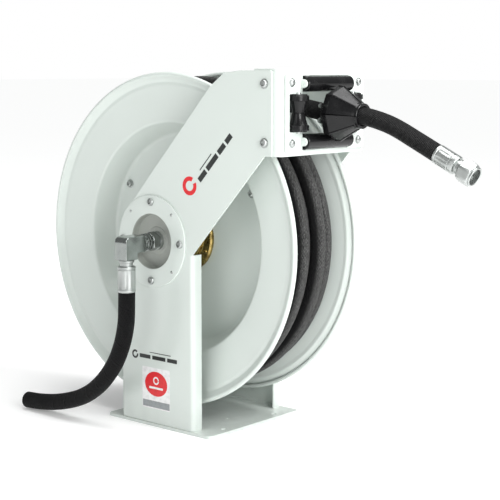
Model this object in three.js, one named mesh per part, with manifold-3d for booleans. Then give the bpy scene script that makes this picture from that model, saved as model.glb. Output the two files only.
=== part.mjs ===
// A spring-rewind hose reel on a folded-steel stand: two dished discs on a fixed axle, a roller guide
// between the arm tips, and the hose from the coil to its swivel nut. Millimetres, +Z up, the reel axis
// along Y. The origin is on the floor under the reel axis, midway between the arms; the hose leaves
// towards +X and the inlet is on the -Y side.
import * as THREE from "three";
import { mergeVertices } from "three/addons/utils/BufferGeometryUtils.js";
import Module from "manifold-3d";

// ---- Driving dimensions -------------------------------------------------------------------------
const GAP = 0.3; // between pieces that touch
const RUNNING = 0.4; // radial clearance of a turning fit
const HOSE_RADIUS = 13.75;

const DISC_RADIUS = 272.5;
const REEL_HALF_WIDTH = 80; // out to the rolled rims
const DISC_SHEET = 1.6;
const RIM_BEAD = 4; // radius of the rolled rim
const DISC_GROOVE = DISC_RADIUS - 15.5; // radius of the pressed groove inside the rim
const RECESS_RADIUS = DISC_RADIUS - 81.5; // where the disc turns in to its floor
const RECESS_FLOOR_RADIUS = RECESS_RADIUS - 18;
const FLOOR_HALF_GAP = 22.4; // disc floor's inner face from the middle
const DRUM_SHEET = 1.7;
const TIE_CIRCLE = RECESS_FLOOR_RADIUS - 13;
const TIE_RADIUS = 4;

const FLOOR_CLEARANCE = 32.5; // under the discs' rims
const SIDE_CLEARANCE = 30; // from the rims out to the arms' outer faces
const AXIS_HEIGHT = DISC_RADIUS + FLOOR_CLEARANCE;
const ARM_OUTER = REEL_HALF_WIDTH + SIDE_CLEARANCE; // arm's outer face from the middle
const ARM_SHEET = 3;
const ARM_BEND = 7; // outer bend radius of the post's flanges
const ARM_FLANGE = 20.5;
const POST_FRONT = 89;
const POST_BACK = 75;
const PAD_RADIUS = 75; // arm's half width around the axle
const ARM_SLOPE = 47.5; // degrees, of the arm above the post

const BASE_BACK = POST_BACK + 32; // base plate behind the reel axis
const BASE_FRONT = POST_FRONT + 38; // base plate ahead of the reel axis
const BASE_HALF_WIDTH = ARM_OUTER + 2;
const BASE_THICKNESS = 5;
const BASE_CORNER = 10;
const ANCHOR_RADIUS = 4.5;
const ANCHOR_EDGE = 14.5; // anchor hole to the base's front and back edges
const ANCHOR_HALF_SPACING = BASE_HALF_WIDTH - 49;

const AXLE_RADIUS = 15;
const AXLE_BORE = 7;
const BARREL_RADIUS = 32;
const BARREL_WALL = 5.5;
const BEARING_WIDTH = 12;
const HUB_FLANGE_RADIUS = 75;
const HUB_CUP_RADIUS = 44;
const HUB_CUP_DEPTH = 24;
const HUB_SHEET = 2.6;
const HUB_BOLT_CIRCLE = 64;
const GLAND_RADIUS = 57;

const SPRING_CASE_RADIUS = RECESS_FLOOR_RADIUS - 33;
const SPRING_BAND = REEL_HALF_WIDTH - 40; // width of the spring strip
const SPRING_TURNS = 5;
const RATCHET_RADIUS = 60;
const RATCHET_TEETH = 12;
const RATCHET_THICKNESS = 5;

const COIL_LAYERS = 2;
const STRAND_OFFSET = 6.5; // where the outlet strand lies across the coil
const STRAND_RISE = 18; // how far the strand nests above the outer layer's middle
const STRAND_WRAP = 62; // degrees of coil that the strand lies on before it leaves

const ROLLER_RADIUS = 12;
const BOBBIN_RADIUS = 16;
const BOBBIN_WAIST = 10;
const BOBBIN_HALF_LENGTH = 28;
const BOBBIN_SPACING = REEL_HALF_WIDTH - 12; // standing rollers either side of the window's middle
const ROLLER_HALF_LENGTH = BOBBIN_SPACING - 12;
const ROLLER_SPACING = BOBBIN_HALF_LENGTH + ROLLER_RADIUS + 3.5; // lying rollers from the window's middle
const ROLLER_AHEAD = 4; // roller axes ahead of the guide's face
const PIN_RADIUS = 6;
const BOBBIN_PIN_RADIUS = 4;
const LUG_SHEET = 3;
const WINDOW_HALF_HEIGHT = ROLLER_SPACING + ROLLER_RADIUS + 0.5;
const ROLLER_PLATE_HALF_WIDTH = ARM_OUTER - 13.4;
const ROLLER_PLATE_HALF_HEIGHT = WINDOW_HALF_HEIGHT + 2;

const GUIDE_FACE = DISC_RADIUS - 8.5; // front face of the guide box, clear of the discs' rims
const GUIDE_HEIGHT = AXIS_HEIGHT + DISC_RADIUS - 61; // middle of the roller window
const GUIDE_BOTTOM = GUIDE_HEIGHT - ROLLER_PLATE_HALF_HEIGHT - 6.5;
const GUIDE_TOP = GUIDE_HEIGHT + ROLLER_PLATE_HALF_HEIGHT + 8;
const GUIDE_BACK = GUIDE_FACE - 50;
const GUIDE_BEND = 12;
const GUIDE_SHEET = 3;
const ARM_TIP = GUIDE_FACE - 13.5; // arm's front edge
const ARM_TOP = GUIDE_TOP - 2.5;
const ARM_TIP_BOTTOM = GUIDE_BOTTOM;
const BOLT_HEAD_RADIUS = 6.5;
const BOLT_HEAD_HEIGHT = 4;
const BOLT_RADIUS = 3.5;

const STOPPER_RADIUS = 41.5;
const STOPPER_LENGTH = 62;
const STOPPER_NECK = HOSE_RADIUS + 4.25;
const STOPPER_START = GUIDE_FACE + 13; // back of the stopper along X
const FERRULE_RADIUS = HOSE_RADIUS + 0.75;
const FERRULE_LENGTH = 38;
const OUTLET_NUT_ACROSS_FLATS = 32;
const OUTLET_NUT_LENGTH = 24;
const OUTLET_NUT_GAP = 9; // neck between ferrule and nut

const ELBOW_HALF = 13;
const ELBOW_REACH = 31; // elbow's back face to the inlet hose's middle
const ELBOW_DROP = 24; // elbow's foot below the reel axis
const INLET_FERRULE_TOP = 34; // ferrule's top below the reel axis
const INLET_FERRULE_LENGTH = 42;

// How finely round pieces are faceted.
const DISC_SIDES = 40;
const CASE_SIDES = 28;
const BOLT_SIDES = 8;

// ---- Materials ----------------------------------------------------------------------------------
const paint = () => new THREE.MeshStandardMaterial({ color: 0xd9e0dc, roughness: 0.35, metalness: 0 });
const zinc = () => new THREE.MeshStandardMaterial({ color: 0xb4b6b5, roughness: 0.35, metalness: 1 });
const brass = () => new THREE.MeshStandardMaterial({ color: 0xb08a3c, roughness: 0.3, metalness: 1 });
const rubber = () => new THREE.MeshStandardMaterial({ color: 0x1b1b1c, roughness: 0.8, metalness: 0 });
const plastic = () => new THREE.MeshStandardMaterial({ color: 0x121212, roughness: 0.4, metalness: 0 });
const springSteel = () => new THREE.MeshStandardMaterial({ color: 0x55585c, roughness: 0.4, metalness: 1 });

// ---- Shape helpers ------------------------------------------------------------------------------
const wasm = await Module();
wasm.setup();
const model = new THREE.Group();
const radians = THREE.MathUtils.degToRad;

function add(name, geometry, material, x = 0, y = 0, z = 0) {
  const mesh = new THREE.Mesh(geometry, material);
  mesh.name = name;
  mesh.position.set(x, y, z);
  model.add(mesh);
  return mesh;
}

// A closed geometry as a solid that can be joined and cut, and back.
function solid(geometry) {
  const bare = geometry.clone();
  bare.deleteAttribute("normal");
  bare.deleteAttribute("uv");
  const merged = mergeVertices(bare, 1e-4);
  return new wasm.Manifold(new wasm.Mesh({
    numProp: 3,
    vertProperties: new Float32Array(merged.attributes.position.array),
    triVerts: new Uint32Array(merged.index.array),
  }));
}

function geometryOf(manifold) {
  const mesh = manifold.getMesh();
  const geometry = new THREE.BufferGeometry();
  geometry.setAttribute("position", new THREE.BufferAttribute(new Float32Array(mesh.vertProperties), 3));
  geometry.setIndex(new THREE.BufferAttribute(new Uint32Array(mesh.triVerts), 1));
  geometry.computeVertexNormals();
  return geometry;
}

const join = (first, ...others) => others.reduce((whole, g) => whole.add(solid(g)), solid(first));
const cut = (whole, ...tools) => tools.reduce((rest, g) => rest.subtract(solid(g)), whole);

// Points of an arc in a plane, from one angle to another in degrees.
function arc(cx, cy, radius, from, to, steps) {
  return Array.from({ length: steps + 1 }, (_, i) => {
    const angle = radians(from + ((to - from) * i) / steps);
    return [cx + radius * Math.cos(angle), cy + radius * Math.sin(angle)];
  });
}

// A turned piece about Y from its [radius, y] outline, closed on itself or on the axis.
function turned(outline, segments = 16) {
  const twiceArea = outline.reduce((sum, [r, y], i) => {
    const [nextR, nextY] = outline[(i + 1) % outline.length];
    return sum + r * nextY - nextR * y;
  }, 0);
  const points = (twiceArea < 0 ? [...outline].reverse() : outline).map(([r, y]) => new THREE.Vector2(r, y));
  if (points[0].x > 0) points.push(points[0].clone());
  return new THREE.LatheGeometry(points, segments);
}

const rod = (radius, from, to, segments = 12) =>
  turned([[0, from], [radius, from], [radius, to], [0, to]], segments);
const ring = (inner, outer, from, to, segments = 16) =>
  turned([[inner, from], [outer, from], [outer, to], [inner, to]], segments);

const outlineShape = (points) => new THREE.Shape(points.map(([x, y]) => new THREE.Vector2(x, y)));

// A plate standing along Y between two values, from its [x, z] outline.
function plateAcrossY(points, from, to) {
  const geometry = new THREE.ExtrudeGeometry(outlineShape(points), { depth: to - from, bevelEnabled: false });
  return geometry.rotateX(Math.PI / 2).translate(0, to, 0);
}

// A bar along Z between two values, from its [x, y] outline.
function barUp(points, from, to) {
  const geometry = new THREE.ExtrudeGeometry(outlineShape(points), { depth: to - from, bevelEnabled: false });
  return geometry.translate(0, 0, from);
}

const block = (x0, x1, y0, y1, z0, z1) =>
  new THREE.BoxGeometry(x1 - x0, y1 - y0, z1 - z0).translate((x0 + x1) / 2, (y0 + y1) / 2, (z0 + z1) / 2);

const hexagon = (acrossFlats) => arc(0, 0, acrossFlats / Math.sqrt(3), 30, 330, 5);

// A hexagonal bar about Y between two values, with a round bore.
function hexAcrossY(acrossFlats, bore, from, to) {
  const outside = solid(plateAcrossY(hexagon(acrossFlats), from, to));
  return bore > 0 ? geometryOf(cut(outside, rod(bore, from - 1, to + 1))) : geometryOf(outside);
}

// A round tube along a smooth curve through points.
function tubeAlong(points, radius, steps, sides = 10, bore = 0) {
  const curve = new THREE.CatmullRomCurve3(points, false, "centripetal");
  const section = outlineShape(arc(0, 0, radius, 0, 360 - 360 / sides, sides - 1));
  if (bore > 0) section.holes.push(outlineShape(arc(0, 0, bore, 0, 360 - 360 / sides, sides - 1)));
  return new THREE.ExtrudeGeometry(section, { steps, extrudePath: curve, bevelEnabled: false });
}

// A headed bolt along Y: its head's underside is at the start and its shank runs the other way.
function boltAcrossY(side, headAt, shankTo) {
  const out = headAt + side * BOLT_HEAD_HEIGHT;
  return turned([
    [0, out], [BOLT_HEAD_RADIUS * 0.8, out], [BOLT_HEAD_RADIUS, out - side * 1.2], [BOLT_HEAD_RADIUS, headAt],
    [BOLT_RADIUS, headAt], [BOLT_RADIUS, shankTo], [0, shankTo],
  ], BOLT_SIDES);
}

// ---- Stand: base plate and the two folded arms --------------------------------------------------
function basePlate() {
  const r = BASE_CORNER;
  const corner = (sx, sy, from) =>
    arc(sx > 0 ? BASE_FRONT - r : r - BASE_BACK, sy * (BASE_HALF_WIDTH - r), r, from, from + 90, 4);
  const outline = [...corner(1, 1, 0), ...corner(-1, 1, 90), ...corner(-1, -1, 180), ...corner(1, -1, 270)];
  let plate = solid(barUp(outline, 0, BASE_THICKNESS));
  for (const x of [ANCHOR_EDGE - BASE_BACK, BASE_FRONT - ANCHOR_EDGE])
    for (const y of [-ANCHOR_HALF_SPACING, ANCHOR_HALF_SPACING])
      plate = cut(plate, rod(ANCHOR_RADIUS, -1, BASE_THICKNESS + 1).rotateX(Math.PI / 2).translate(x, y, 0));
  return geometryOf(plate);
}

const slope = new THREE.Vector2(Math.cos(radians(ARM_SLOPE)), Math.sin(radians(ARM_SLOPE)));
const acrossSlope = new THREE.Vector2(-slope.y, slope.x);
const edgePoint = (offset, along) => [
  offset * acrossSlope.x + along * slope.x,
  AXIS_HEIGHT + offset * acrossSlope.y + along * slope.y,
];
const alongAtHeight = (offset, height) => (height - AXIS_HEIGHT - offset * acrossSlope.y) / slope.y;
const alongAtX = (offset, x) => (x - offset * acrossSlope.x) / slope.x;
const POST_TOP = edgePoint(-PAD_RADIUS, alongAtX(-PAD_RADIUS, POST_FRONT))[1] - 2;
const POST_BOTTOM = BASE_THICKNESS + GAP;
const armBoltPlaces = [[ARM_TIP - 13.5, ARM_TOP - 20], [ARM_TIP - 13.5, ARM_TIP_BOTTOM + 20]];
const hubBoltPlaces = [0, 90, 180, 270].map((angle) => arc(0, 0, HUB_BOLT_CIRCLE, angle, angle, 1)[0]);

function arm(side) {
  const inner = Math.min(side * ARM_OUTER, side * (ARM_OUTER - ARM_SHEET));
  const topCorner = edgePoint(PAD_RADIUS, alongAtHeight(PAD_RADIUS, ARM_TOP - 6));
  const beforeCorner = edgePoint(PAD_RADIUS, alongAtHeight(PAD_RADIUS, ARM_TOP - 24));
  const outline = [
    [ARM_BEND - POST_BACK, POST_BOTTOM], [POST_FRONT - ARM_BEND, POST_BOTTOM],
    [POST_FRONT - ARM_BEND, POST_TOP], [POST_FRONT, POST_TOP],
    edgePoint(-PAD_RADIUS, alongAtX(-PAD_RADIUS, POST_FRONT)),
    edgePoint(-PAD_RADIUS, alongAtHeight(-PAD_RADIUS, ARM_TIP_BOTTOM)),
    [ARM_TIP, ARM_TIP_BOTTOM], [ARM_TIP, ARM_TOP], [topCorner[0] + 45, ARM_TOP],
    [topCorner[0] + 12, ARM_TOP - 3.5], beforeCorner,
    ...arc(0, AXIS_HEIGHT, PAD_RADIUS, ARM_SLOPE + 90, 180, 10),
    [-PAD_RADIUS, POST_TOP], [ARM_BEND - POST_BACK, POST_TOP],
  ];
  const flat = plateAcrossY(outline, inner, inner + ARM_SHEET);
  const bend = ARM_BEND - ARM_SHEET;
  const at = ARM_OUTER - ARM_BEND;
  const channel = [
    [-POST_BACK, ARM_OUTER - ARM_FLANGE], ...arc(ARM_BEND - POST_BACK, at, ARM_BEND, 180, 90, 4),
    ...arc(POST_FRONT - ARM_BEND, at, ARM_BEND, 90, 0, 4), [POST_FRONT, ARM_OUTER - ARM_FLANGE],
    [POST_FRONT - ARM_SHEET, ARM_OUTER - ARM_FLANGE], ...arc(POST_FRONT - ARM_BEND, at, bend, 0, 90, 4),
    ...arc(ARM_BEND - POST_BACK, at, bend, 90, 180, 4), [ARM_SHEET - POST_BACK, ARM_OUTER - ARM_FLANGE],
  ].map(([x, y]) => [x, side * y]);
  const holes = [rod(HUB_CUP_RADIUS + HUB_SHEET + 3 * GAP, inner - 1, inner + ARM_SHEET + 1, CASE_SIDES)
    .translate(0, 0, AXIS_HEIGHT)];
  const hole = (x, z) =>
    rod(BOLT_RADIUS + GAP, inner - 1, inner + ARM_SHEET + 1, BOLT_SIDES).translate(x, 0, z);
  for (const [x, z] of armBoltPlaces) holes.push(hole(x, z));
  for (const [x, z] of hubBoltPlaces) holes.push(hole(x, AXIS_HEIGHT + z));
  return geometryOf(cut(join(flat, barUp(channel, POST_BOTTOM, POST_TOP)), ...holes));
}

function buildStand() {
  add("base_plate", basePlate(), paint());
  for (const [name, side] of [["near", -1], ["far", 1]]) {
    add(`${name}_arm`, arm(side), paint());
    armBoltPlaces.forEach(([x, z], i) => {
      const tip = ARM_OUTER - ARM_SHEET - GUIDE_SHEET - 5;
      const bolt = boltAcrossY(side, side * (ARM_OUTER + GAP), side * tip);
      add(`${name}_arm_bolt_${i + 1}`, bolt, zinc(), x, 0, z);
    });
  }
}

// ---- Hub flanges, axle and inlet ----------------------------------------------------------------
const CUP_BOTTOM = ARM_OUTER - HUB_CUP_DEPTH; // cup's outer bottom face from the middle
const CONE_RISE = 14; // the cup's bottom rises towards the axle
const CONE_RADIUS = AXLE_RADIUS + 4;

function hubFlange(side) {
  const face = ARM_OUTER + GAP;
  const bore = AXLE_RADIUS + GAP;
  const outline = [
    [HUB_FLANGE_RADIUS, face], [HUB_FLANGE_RADIUS, face + HUB_SHEET], [HUB_CUP_RADIUS, face + HUB_SHEET],
    [HUB_CUP_RADIUS, CUP_BOTTOM], [CONE_RADIUS, CUP_BOTTOM + CONE_RISE], [bore, CUP_BOTTOM + CONE_RISE],
    [bore, CUP_BOTTOM + CONE_RISE - HUB_SHEET], [CONE_RADIUS, CUP_BOTTOM + CONE_RISE - HUB_SHEET],
    [HUB_CUP_RADIUS - HUB_SHEET, CUP_BOTTOM - HUB_SHEET],
    [HUB_CUP_RADIUS + HUB_SHEET, CUP_BOTTOM - HUB_SHEET], [HUB_CUP_RADIUS + HUB_SHEET, face],
  ].map(([r, y]) => [r, side * y]);
  const from = Math.min(side * (face - 1), side * (face + HUB_SHEET + 1));
  const holes = hubBoltPlaces.map(([x, z]) =>
    rod(BOLT_RADIUS + GAP, from, from + HUB_SHEET + 2, BOLT_SIDES).translate(x, 0, z));
  return geometryOf(cut(solid(turned(outline, CASE_SIDES)), ...holes));
}

const AXLE_END = CUP_BOTTOM + CONE_RISE + 4; // axle's ends from the middle
const ADAPTER_END = AXLE_END + 15;
const SWIVEL_END = ADAPTER_END + 18;
const INLET_OUT = SWIVEL_END + ELBOW_REACH; // inlet hose's plane from the middle

function axle() {
  const shaft = solid(rod(AXLE_RADIUS, -AXLE_END, AXLE_END, 24));
  const bore = rod(AXLE_BORE, -AXLE_END - 1, 5, 12);
  const port = rod(AXLE_BORE * 0.7, 0, AXLE_RADIUS + 1, 12).rotateX(Math.PI / 2);
  return geometryOf(cut(shaft, bore, port));
}

function buildHubs() {
  add("near_hub_flange", hubFlange(-1), paint(), 0, 0, AXIS_HEIGHT);
  add("far_hub_flange", hubFlange(1), paint(), 0, 0, AXIS_HEIGHT);
  hubBoltPlaces.forEach(([x, z], i) => {
    const head = ARM_OUTER + GAP + HUB_SHEET + GAP;
    const bolt = boltAcrossY(-1, -head, -(ARM_OUTER - ARM_SHEET - 8));
    add(`near_hub_bolt_${i + 1}`, bolt, zinc(), x, 0, AXIS_HEIGHT + z);
  });
  add("axle", axle(), zinc(), 0, 0, AXIS_HEIGHT);
  const capFrom = AXLE_END + GAP;
  add("far_axle_cap", hexAcrossY(30, 0, capFrom, capFrom + 8), zinc(), 0, 0, AXIS_HEIGHT);
}

function buildInlet() {
  const adapter = hexAcrossY(27, AXLE_BORE, -ADAPTER_END, -AXLE_END - GAP);
  add("inlet_adapter", adapter, zinc(), 0, 0, AXIS_HEIGHT);
  const nut = turned([
    [AXLE_BORE, -SWIVEL_END], [14, -SWIVEL_END], [14, -SWIVEL_END + 5], [11, -SWIVEL_END + 6],
    [11, -SWIVEL_END + 8], [14, -SWIVEL_END + 9], [14, -ADAPTER_END - GAP - 4], [12, -ADAPTER_END - GAP],
    [AXLE_BORE, -ADAPTER_END - GAP],
  ]);
  add("inlet_swivel_nut", nut, zinc(), 0, 0, AXIS_HEIGHT);
  const h = ELBOW_HALF;
  const corner = 5;
  const section = [[h, -ELBOW_DROP], [h, h - corner], [h - corner, h], [-h + corner, h], [-h, h - corner],
    [-h, -ELBOW_DROP]];
  const back = -INLET_OUT - h;
  let elbow = solid(plateAcrossY(section, back, -SWIVEL_END - GAP));
  elbow = cut(elbow,
    block(-h - 1, h + 1, -INLET_OUT + h, 0, -ELBOW_DROP - 1, -h),
    rod(AXLE_BORE, -INLET_OUT, 0, 12),
    rod(AXLE_BORE, 0, ELBOW_DROP + 1, 12).rotateX(-Math.PI / 2).translate(0, -INLET_OUT, 0));
  add("inlet_elbow", geometryOf(elbow), zinc(), 0, 0, AXIS_HEIGHT);
  const top = INLET_FERRULE_TOP;
  const ferrule = turned([
    [AXLE_BORE, ELBOW_DROP + GAP], [12.5, ELBOW_DROP + GAP], [12.5, ELBOW_DROP + 4], [10, ELBOW_DROP + 5],
    [10, top - 1], [FERRULE_RADIUS - 0.8, top], [FERRULE_RADIUS, top + 1],
    [FERRULE_RADIUS, top + INLET_FERRULE_LENGTH], [AXLE_BORE, top + INLET_FERRULE_LENGTH],
  ]).rotateX(-Math.PI / 2);
  add("inlet_ferrule", ferrule, zinc(), 0, -INLET_OUT, AXIS_HEIGHT);
  const hoseTop = AXIS_HEIGHT - top - INLET_FERRULE_LENGTH - GAP;
  const route = [
    [0, hoseTop], [-0.5, 206], [-1.5, 184], [-5.5, 163], [-12, 142.5], [-24, 117.5], [-40, 95], [-62, 72],
    [-87, 53.5], [-111, 41], [-136, 32], [-161, 25.2], [-187, 20], [-217, 16.2], [-247, 14.4],
  ].map(([x, z]) => new THREE.Vector3(x, -INLET_OUT, z));
  add("inlet_hose", tubeAlong(route, HOSE_RADIUS, 16, 8), rubber());
}

// ---- Drum: discs, shell, hub barrel and coil ----------------------------------------------------
// The disc's outer face from the rim to its floor, as [radius, distance from the middle].
const FLOOR_OUT = FLOOR_HALF_GAP + DISC_SHEET;
const BEAD_AT = DISC_RADIUS - RIM_BEAD;

function disc(side) {
  const rimOut = REEL_HALF_WIDTH - RIM_BEAD;
  const face = [
    [DISC_GROOVE + 5, rimOut - 1.5], [DISC_GROOVE, REEL_HALF_WIDTH - 8],
    [RECESS_RADIUS, REEL_HALF_WIDTH - 16], [RECESS_FLOOR_RADIUS, FLOOR_OUT], [BARREL_RADIUS - 3, FLOOR_OUT],
  ];
  const inside = [...face].reverse().map(([r, out]) => [r, out - DISC_SHEET]);
  const bead = arc(BEAD_AT, rimOut, RIM_BEAD, -110, 140, 5);
  const outline = [...face, ...inside, ...bead].map(([r, out]) => [r, side * out]);
  const from = Math.min(side * (FLOOR_OUT + 1), side * (FLOOR_HALF_GAP - 1));
  const holes = tiePlaces.map(([x, z]) =>
    rod(TIE_RADIUS + GAP, from, from + DISC_SHEET + 2, BOLT_SIDES).translate(x, 0, z));
  return geometryOf(cut(solid(turned(outline, DISC_SIDES)), ...holes));
}

const tiePlaces = [30, 150, 270].map((angle) => arc(0, 0, TIE_CIRCLE, angle, angle, 1)[0]);
const SHELL_OUTER = RECESS_RADIUS + 1 + DRUM_SHEET;
const SHELL_HALF = REEL_HALF_WIDTH - 18 - DISC_SHEET - GAP;
const LAYER_STEP = 2 * HOSE_RADIUS - 1.5; // turns of one layer sink a little between those below
const COIL_INNER = SHELL_OUTER + GAP;
const COIL_OUTER = COIL_INNER + 2 * HOSE_RADIUS + (COIL_LAYERS - 1) * LAYER_STEP;
const STRAND_RADIUS = COIL_OUTER - HOSE_RADIUS + STRAND_RISE;
const GROOVE_FLOOR = COIL_INNER + 2 * HOSE_RADIUS; // top of the first layer
const STRAND_START_RADIUS = GROOVE_FLOOR + HOSE_RADIUS + GAP;

function coil() {
  const half = SHELL_HALF - 0.5;
  const clear = HOSE_RADIUS + GAP;
  return turned([
    [COIL_INNER, -half], [COIL_OUTER - 5, -half], [COIL_OUTER, -half + 6],
    [COIL_OUTER, STRAND_OFFSET - clear], [GROOVE_FLOOR, STRAND_OFFSET - clear],
    [GROOVE_FLOOR, STRAND_OFFSET + clear],
    [COIL_OUTER, STRAND_OFFSET + clear], [COIL_OUTER, half - 6], [COIL_OUTER - 5, half], [COIL_INNER, half],
  ], DISC_SIDES);
}

function hubBarrel() {
  const inner = BARREL_RADIUS - BARREL_WALL;
  const half = FLOOR_HALF_GAP - GAP;
  const rib = half - BEARING_WIDTH - 1;
  const shoulder = AXLE_RADIUS + 4;
  const body = solid(turned([
    [inner, -half], [BARREL_RADIUS, -half], [BARREL_RADIUS, half], [inner, half],
    [inner, rib], [shoulder, rib], [shoulder, -rib], [inner, -rib],
  ]));
  return geometryOf(cut(body, rod(6, 0, BARREL_RADIUS + 1, 12).rotateX(Math.PI / 2)));
}

function buildDrum() {
  for (const [name, side] of [["near", -1], ["far", 1]]) {
    add(`${name}_disc`, disc(side), paint(), 0, 0, AXIS_HEIGHT);
    const from = side * (FLOOR_HALF_GAP - GAP - BEARING_WIDTH);
    const to = side * (FLOOR_HALF_GAP - GAP);
    const bearing = ring(AXLE_RADIUS + RUNNING, BARREL_RADIUS - BARREL_WALL - GAP, from, to);
    add(`${name}_bearing`, bearing, zinc(), 0, 0, AXIS_HEIGHT);
  }
  const portHole = rod(14, RECESS_RADIUS - 10, SHELL_OUTER + 5, 12).rotateX(Math.PI / 2);
  const shell = solid(ring(SHELL_OUTER - DRUM_SHEET, SHELL_OUTER, -SHELL_HALF, SHELL_HALF, DISC_SIDES));
  add("drum_shell", geometryOf(cut(shell, portHole)), paint(), 0, 0, AXIS_HEIGHT);
  add("hub_barrel", hubBarrel(), zinc(), 0, 0, AXIS_HEIGHT);
  const seal = ring(AXLE_RADIUS + RUNNING, AXLE_RADIUS + 3.6, 5.2, 8);
  add("swivel_seal", seal, rubber(), 0, 0, AXIS_HEIGHT);
  const pipe = ring(6, 10, BARREL_RADIUS + GAP, COIL_INNER - GAP - 3, 12).rotateX(Math.PI / 2);
  add("drum_outlet_pipe", pipe, zinc(), 0, 0, AXIS_HEIGHT);
  const face = -FLOOR_OUT - GAP;
  const gland = turned([
    [AXLE_RADIUS + RUNNING, face], [GLAND_RADIUS, face], [GLAND_RADIUS, face - 5],
    [GLAND_RADIUS - 2, face - 7], [42, face - 8], [40, face - 16], [30, face - 17],
    [28, face - 26], [AXLE_RADIUS + RUNNING, face - 26],
  ], CASE_SIDES);
  add("hub_gland", gland, brass(), 0, 0, AXIS_HEIGHT);
  tiePlaces.forEach(([x, z], i) => {
    const head = FLOOR_OUT + GAP;
    const bolt = turned([
      [0, -head - 5], [7, -head - 5], [8, -head - 3.5], [8, -head], [TIE_RADIUS, -head], [TIE_RADIUS, head],
      [8, head], [8, head + 5], [0, head + 5],
    ], BOLT_SIDES);
    add(`tie_bolt_${i + 1}`, bolt, zinc(), x, 0, AXIS_HEIGHT + z);
  });
  add("hose_coil", coil(), rubber(), 0, 0, AXIS_HEIGHT);
}

// ---- Rewind spring and ratchet, in the far disc's recess ----------------------------------------
const CASE_FROM = FLOOR_OUT + GAP;
const CASE_SHEET = 2;
const CASE_TO = CASE_FROM + CASE_SHEET + SPRING_BAND + 4;
const COVER_FROM = CASE_TO + GAP;
const RATCHET_FROM = COVER_FROM + CASE_SHEET + GAP;
const HOLE_RADIUS = AXLE_RADIUS + 4;

const SPRING_SIDES = 12; // facets of one turn

function powerSpring() {
  const thickness = 1.6;
  const innerRadius = 30;
  const outerRadius = SPRING_CASE_RADIUS - CASE_SHEET - 4;
  const steps = SPRING_TURNS * SPRING_SIDES;
  const side = (shift) => Array.from({ length: steps + 1 }, (_, i) => {
    const radius = innerRadius + ((outerRadius - innerRadius) * i) / steps + shift;
    return arc(0, 0, radius, (i * 360) / SPRING_SIDES, (i * 360) / SPRING_SIDES, 1)[0];
  });
  const from = CASE_FROM + CASE_SHEET + 2;
  return plateAcrossY([...side(0), ...side(-thickness).reverse()], from, from + SPRING_BAND);
}

function ratchetOutline() {
  const points = [];
  for (let tooth = 0; tooth < RATCHET_TEETH; tooth += 1) {
    const angle = (tooth * 360) / RATCHET_TEETH;
    points.push(...arc(0, 0, RATCHET_RADIUS, angle, angle, 1).slice(0, 1));
    points.push(...arc(0, 0, RATCHET_RADIUS - 8, angle + 4, angle + 4, 1).slice(0, 1));
    points.push(...arc(0, 0, RATCHET_RADIUS - 4, angle + 17, angle + 17, 1).slice(0, 1));
  }
  return points;
}

const PAWL_PIVOT = [-50, -78]; // from the reel axis
const PAWL_PIN_RADIUS = 4;

function buildRewind() {
  const caseShape = [
    [HOLE_RADIUS, CASE_FROM], [SPRING_CASE_RADIUS, CASE_FROM], [SPRING_CASE_RADIUS, CASE_TO],
    [SPRING_CASE_RADIUS - CASE_SHEET, CASE_TO], [SPRING_CASE_RADIUS - CASE_SHEET, CASE_FROM + CASE_SHEET],
    [HOLE_RADIUS, CASE_FROM + CASE_SHEET],
  ];
  add("spring_case", turned(caseShape, CASE_SIDES), paint(), 0, 0, AXIS_HEIGHT);
  add("power_spring", powerSpring(), springSteel(), 0, 0, AXIS_HEIGHT);
  const cover = ring(HOLE_RADIUS, SPRING_CASE_RADIUS, COVER_FROM, COVER_FROM + CASE_SHEET, CASE_SIDES);
  add("spring_cover", cover, paint(), 0, 0, AXIS_HEIGHT);
  const wheel = cut(solid(plateAcrossY(ratchetOutline(), RATCHET_FROM, RATCHET_FROM + RATCHET_THICKNESS)),
    rod(HOLE_RADIUS, RATCHET_FROM - 1, RATCHET_FROM + RATCHET_THICKNESS + 1));
  add("ratchet_wheel", geometryOf(wheel), zinc(), 0, 0, AXIS_HEIGHT);

  const [px, pz] = PAWL_PIVOT;
  const reach = Math.hypot(px, pz) - RATCHET_RADIUS;
  const toWheel = Math.atan2(-pz, -px);
  const boss = 9;
  const tip = reach + 2;
  const outline = [
    ...arc(0, 0, boss, 70, 290, 8), [tip * 0.55, -7], [tip, -20], [tip + 3, -17], [tip * 0.75, 4],
  ];
  const pawl = cut(solid(plateAcrossY(outline, RATCHET_FROM, RATCHET_FROM + RATCHET_THICKNESS)),
    rod(PAWL_PIN_RADIUS + RUNNING, RATCHET_FROM - 1, RATCHET_FROM + RATCHET_THICKNESS + 1));
  const mesh = add("pawl", geometryOf(pawl), zinc(), px, 0, AXIS_HEIGHT + pz);
  mesh.rotation.y = -(toWheel - radians(22));
  const pin = rod(PAWL_PIN_RADIUS, RATCHET_FROM, ARM_OUTER - ARM_SHEET - GAP, 12);
  add("pawl_pin", pin, zinc(), px, 0, AXIS_HEIGHT + pz);
  const from = RATCHET_FROM + RATCHET_THICKNESS + 2;
  const turns = 3;
  const wire = 0.9;
  const helix = Array.from({ length: turns * 10 + 1 }, (_, i) => {
    const angle = (i * Math.PI) / 5;
    const radius = PAWL_PIN_RADIUS + 2.2;
    return new THREE.Vector3(radius * Math.cos(angle), from + (i * 2.6) / 10, radius * Math.sin(angle));
  });
  add("pawl_spring", tubeAlong(helix, wire, turns * 10, 5), springSteel(), px, 0, AXIS_HEIGHT + pz);
}

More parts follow.
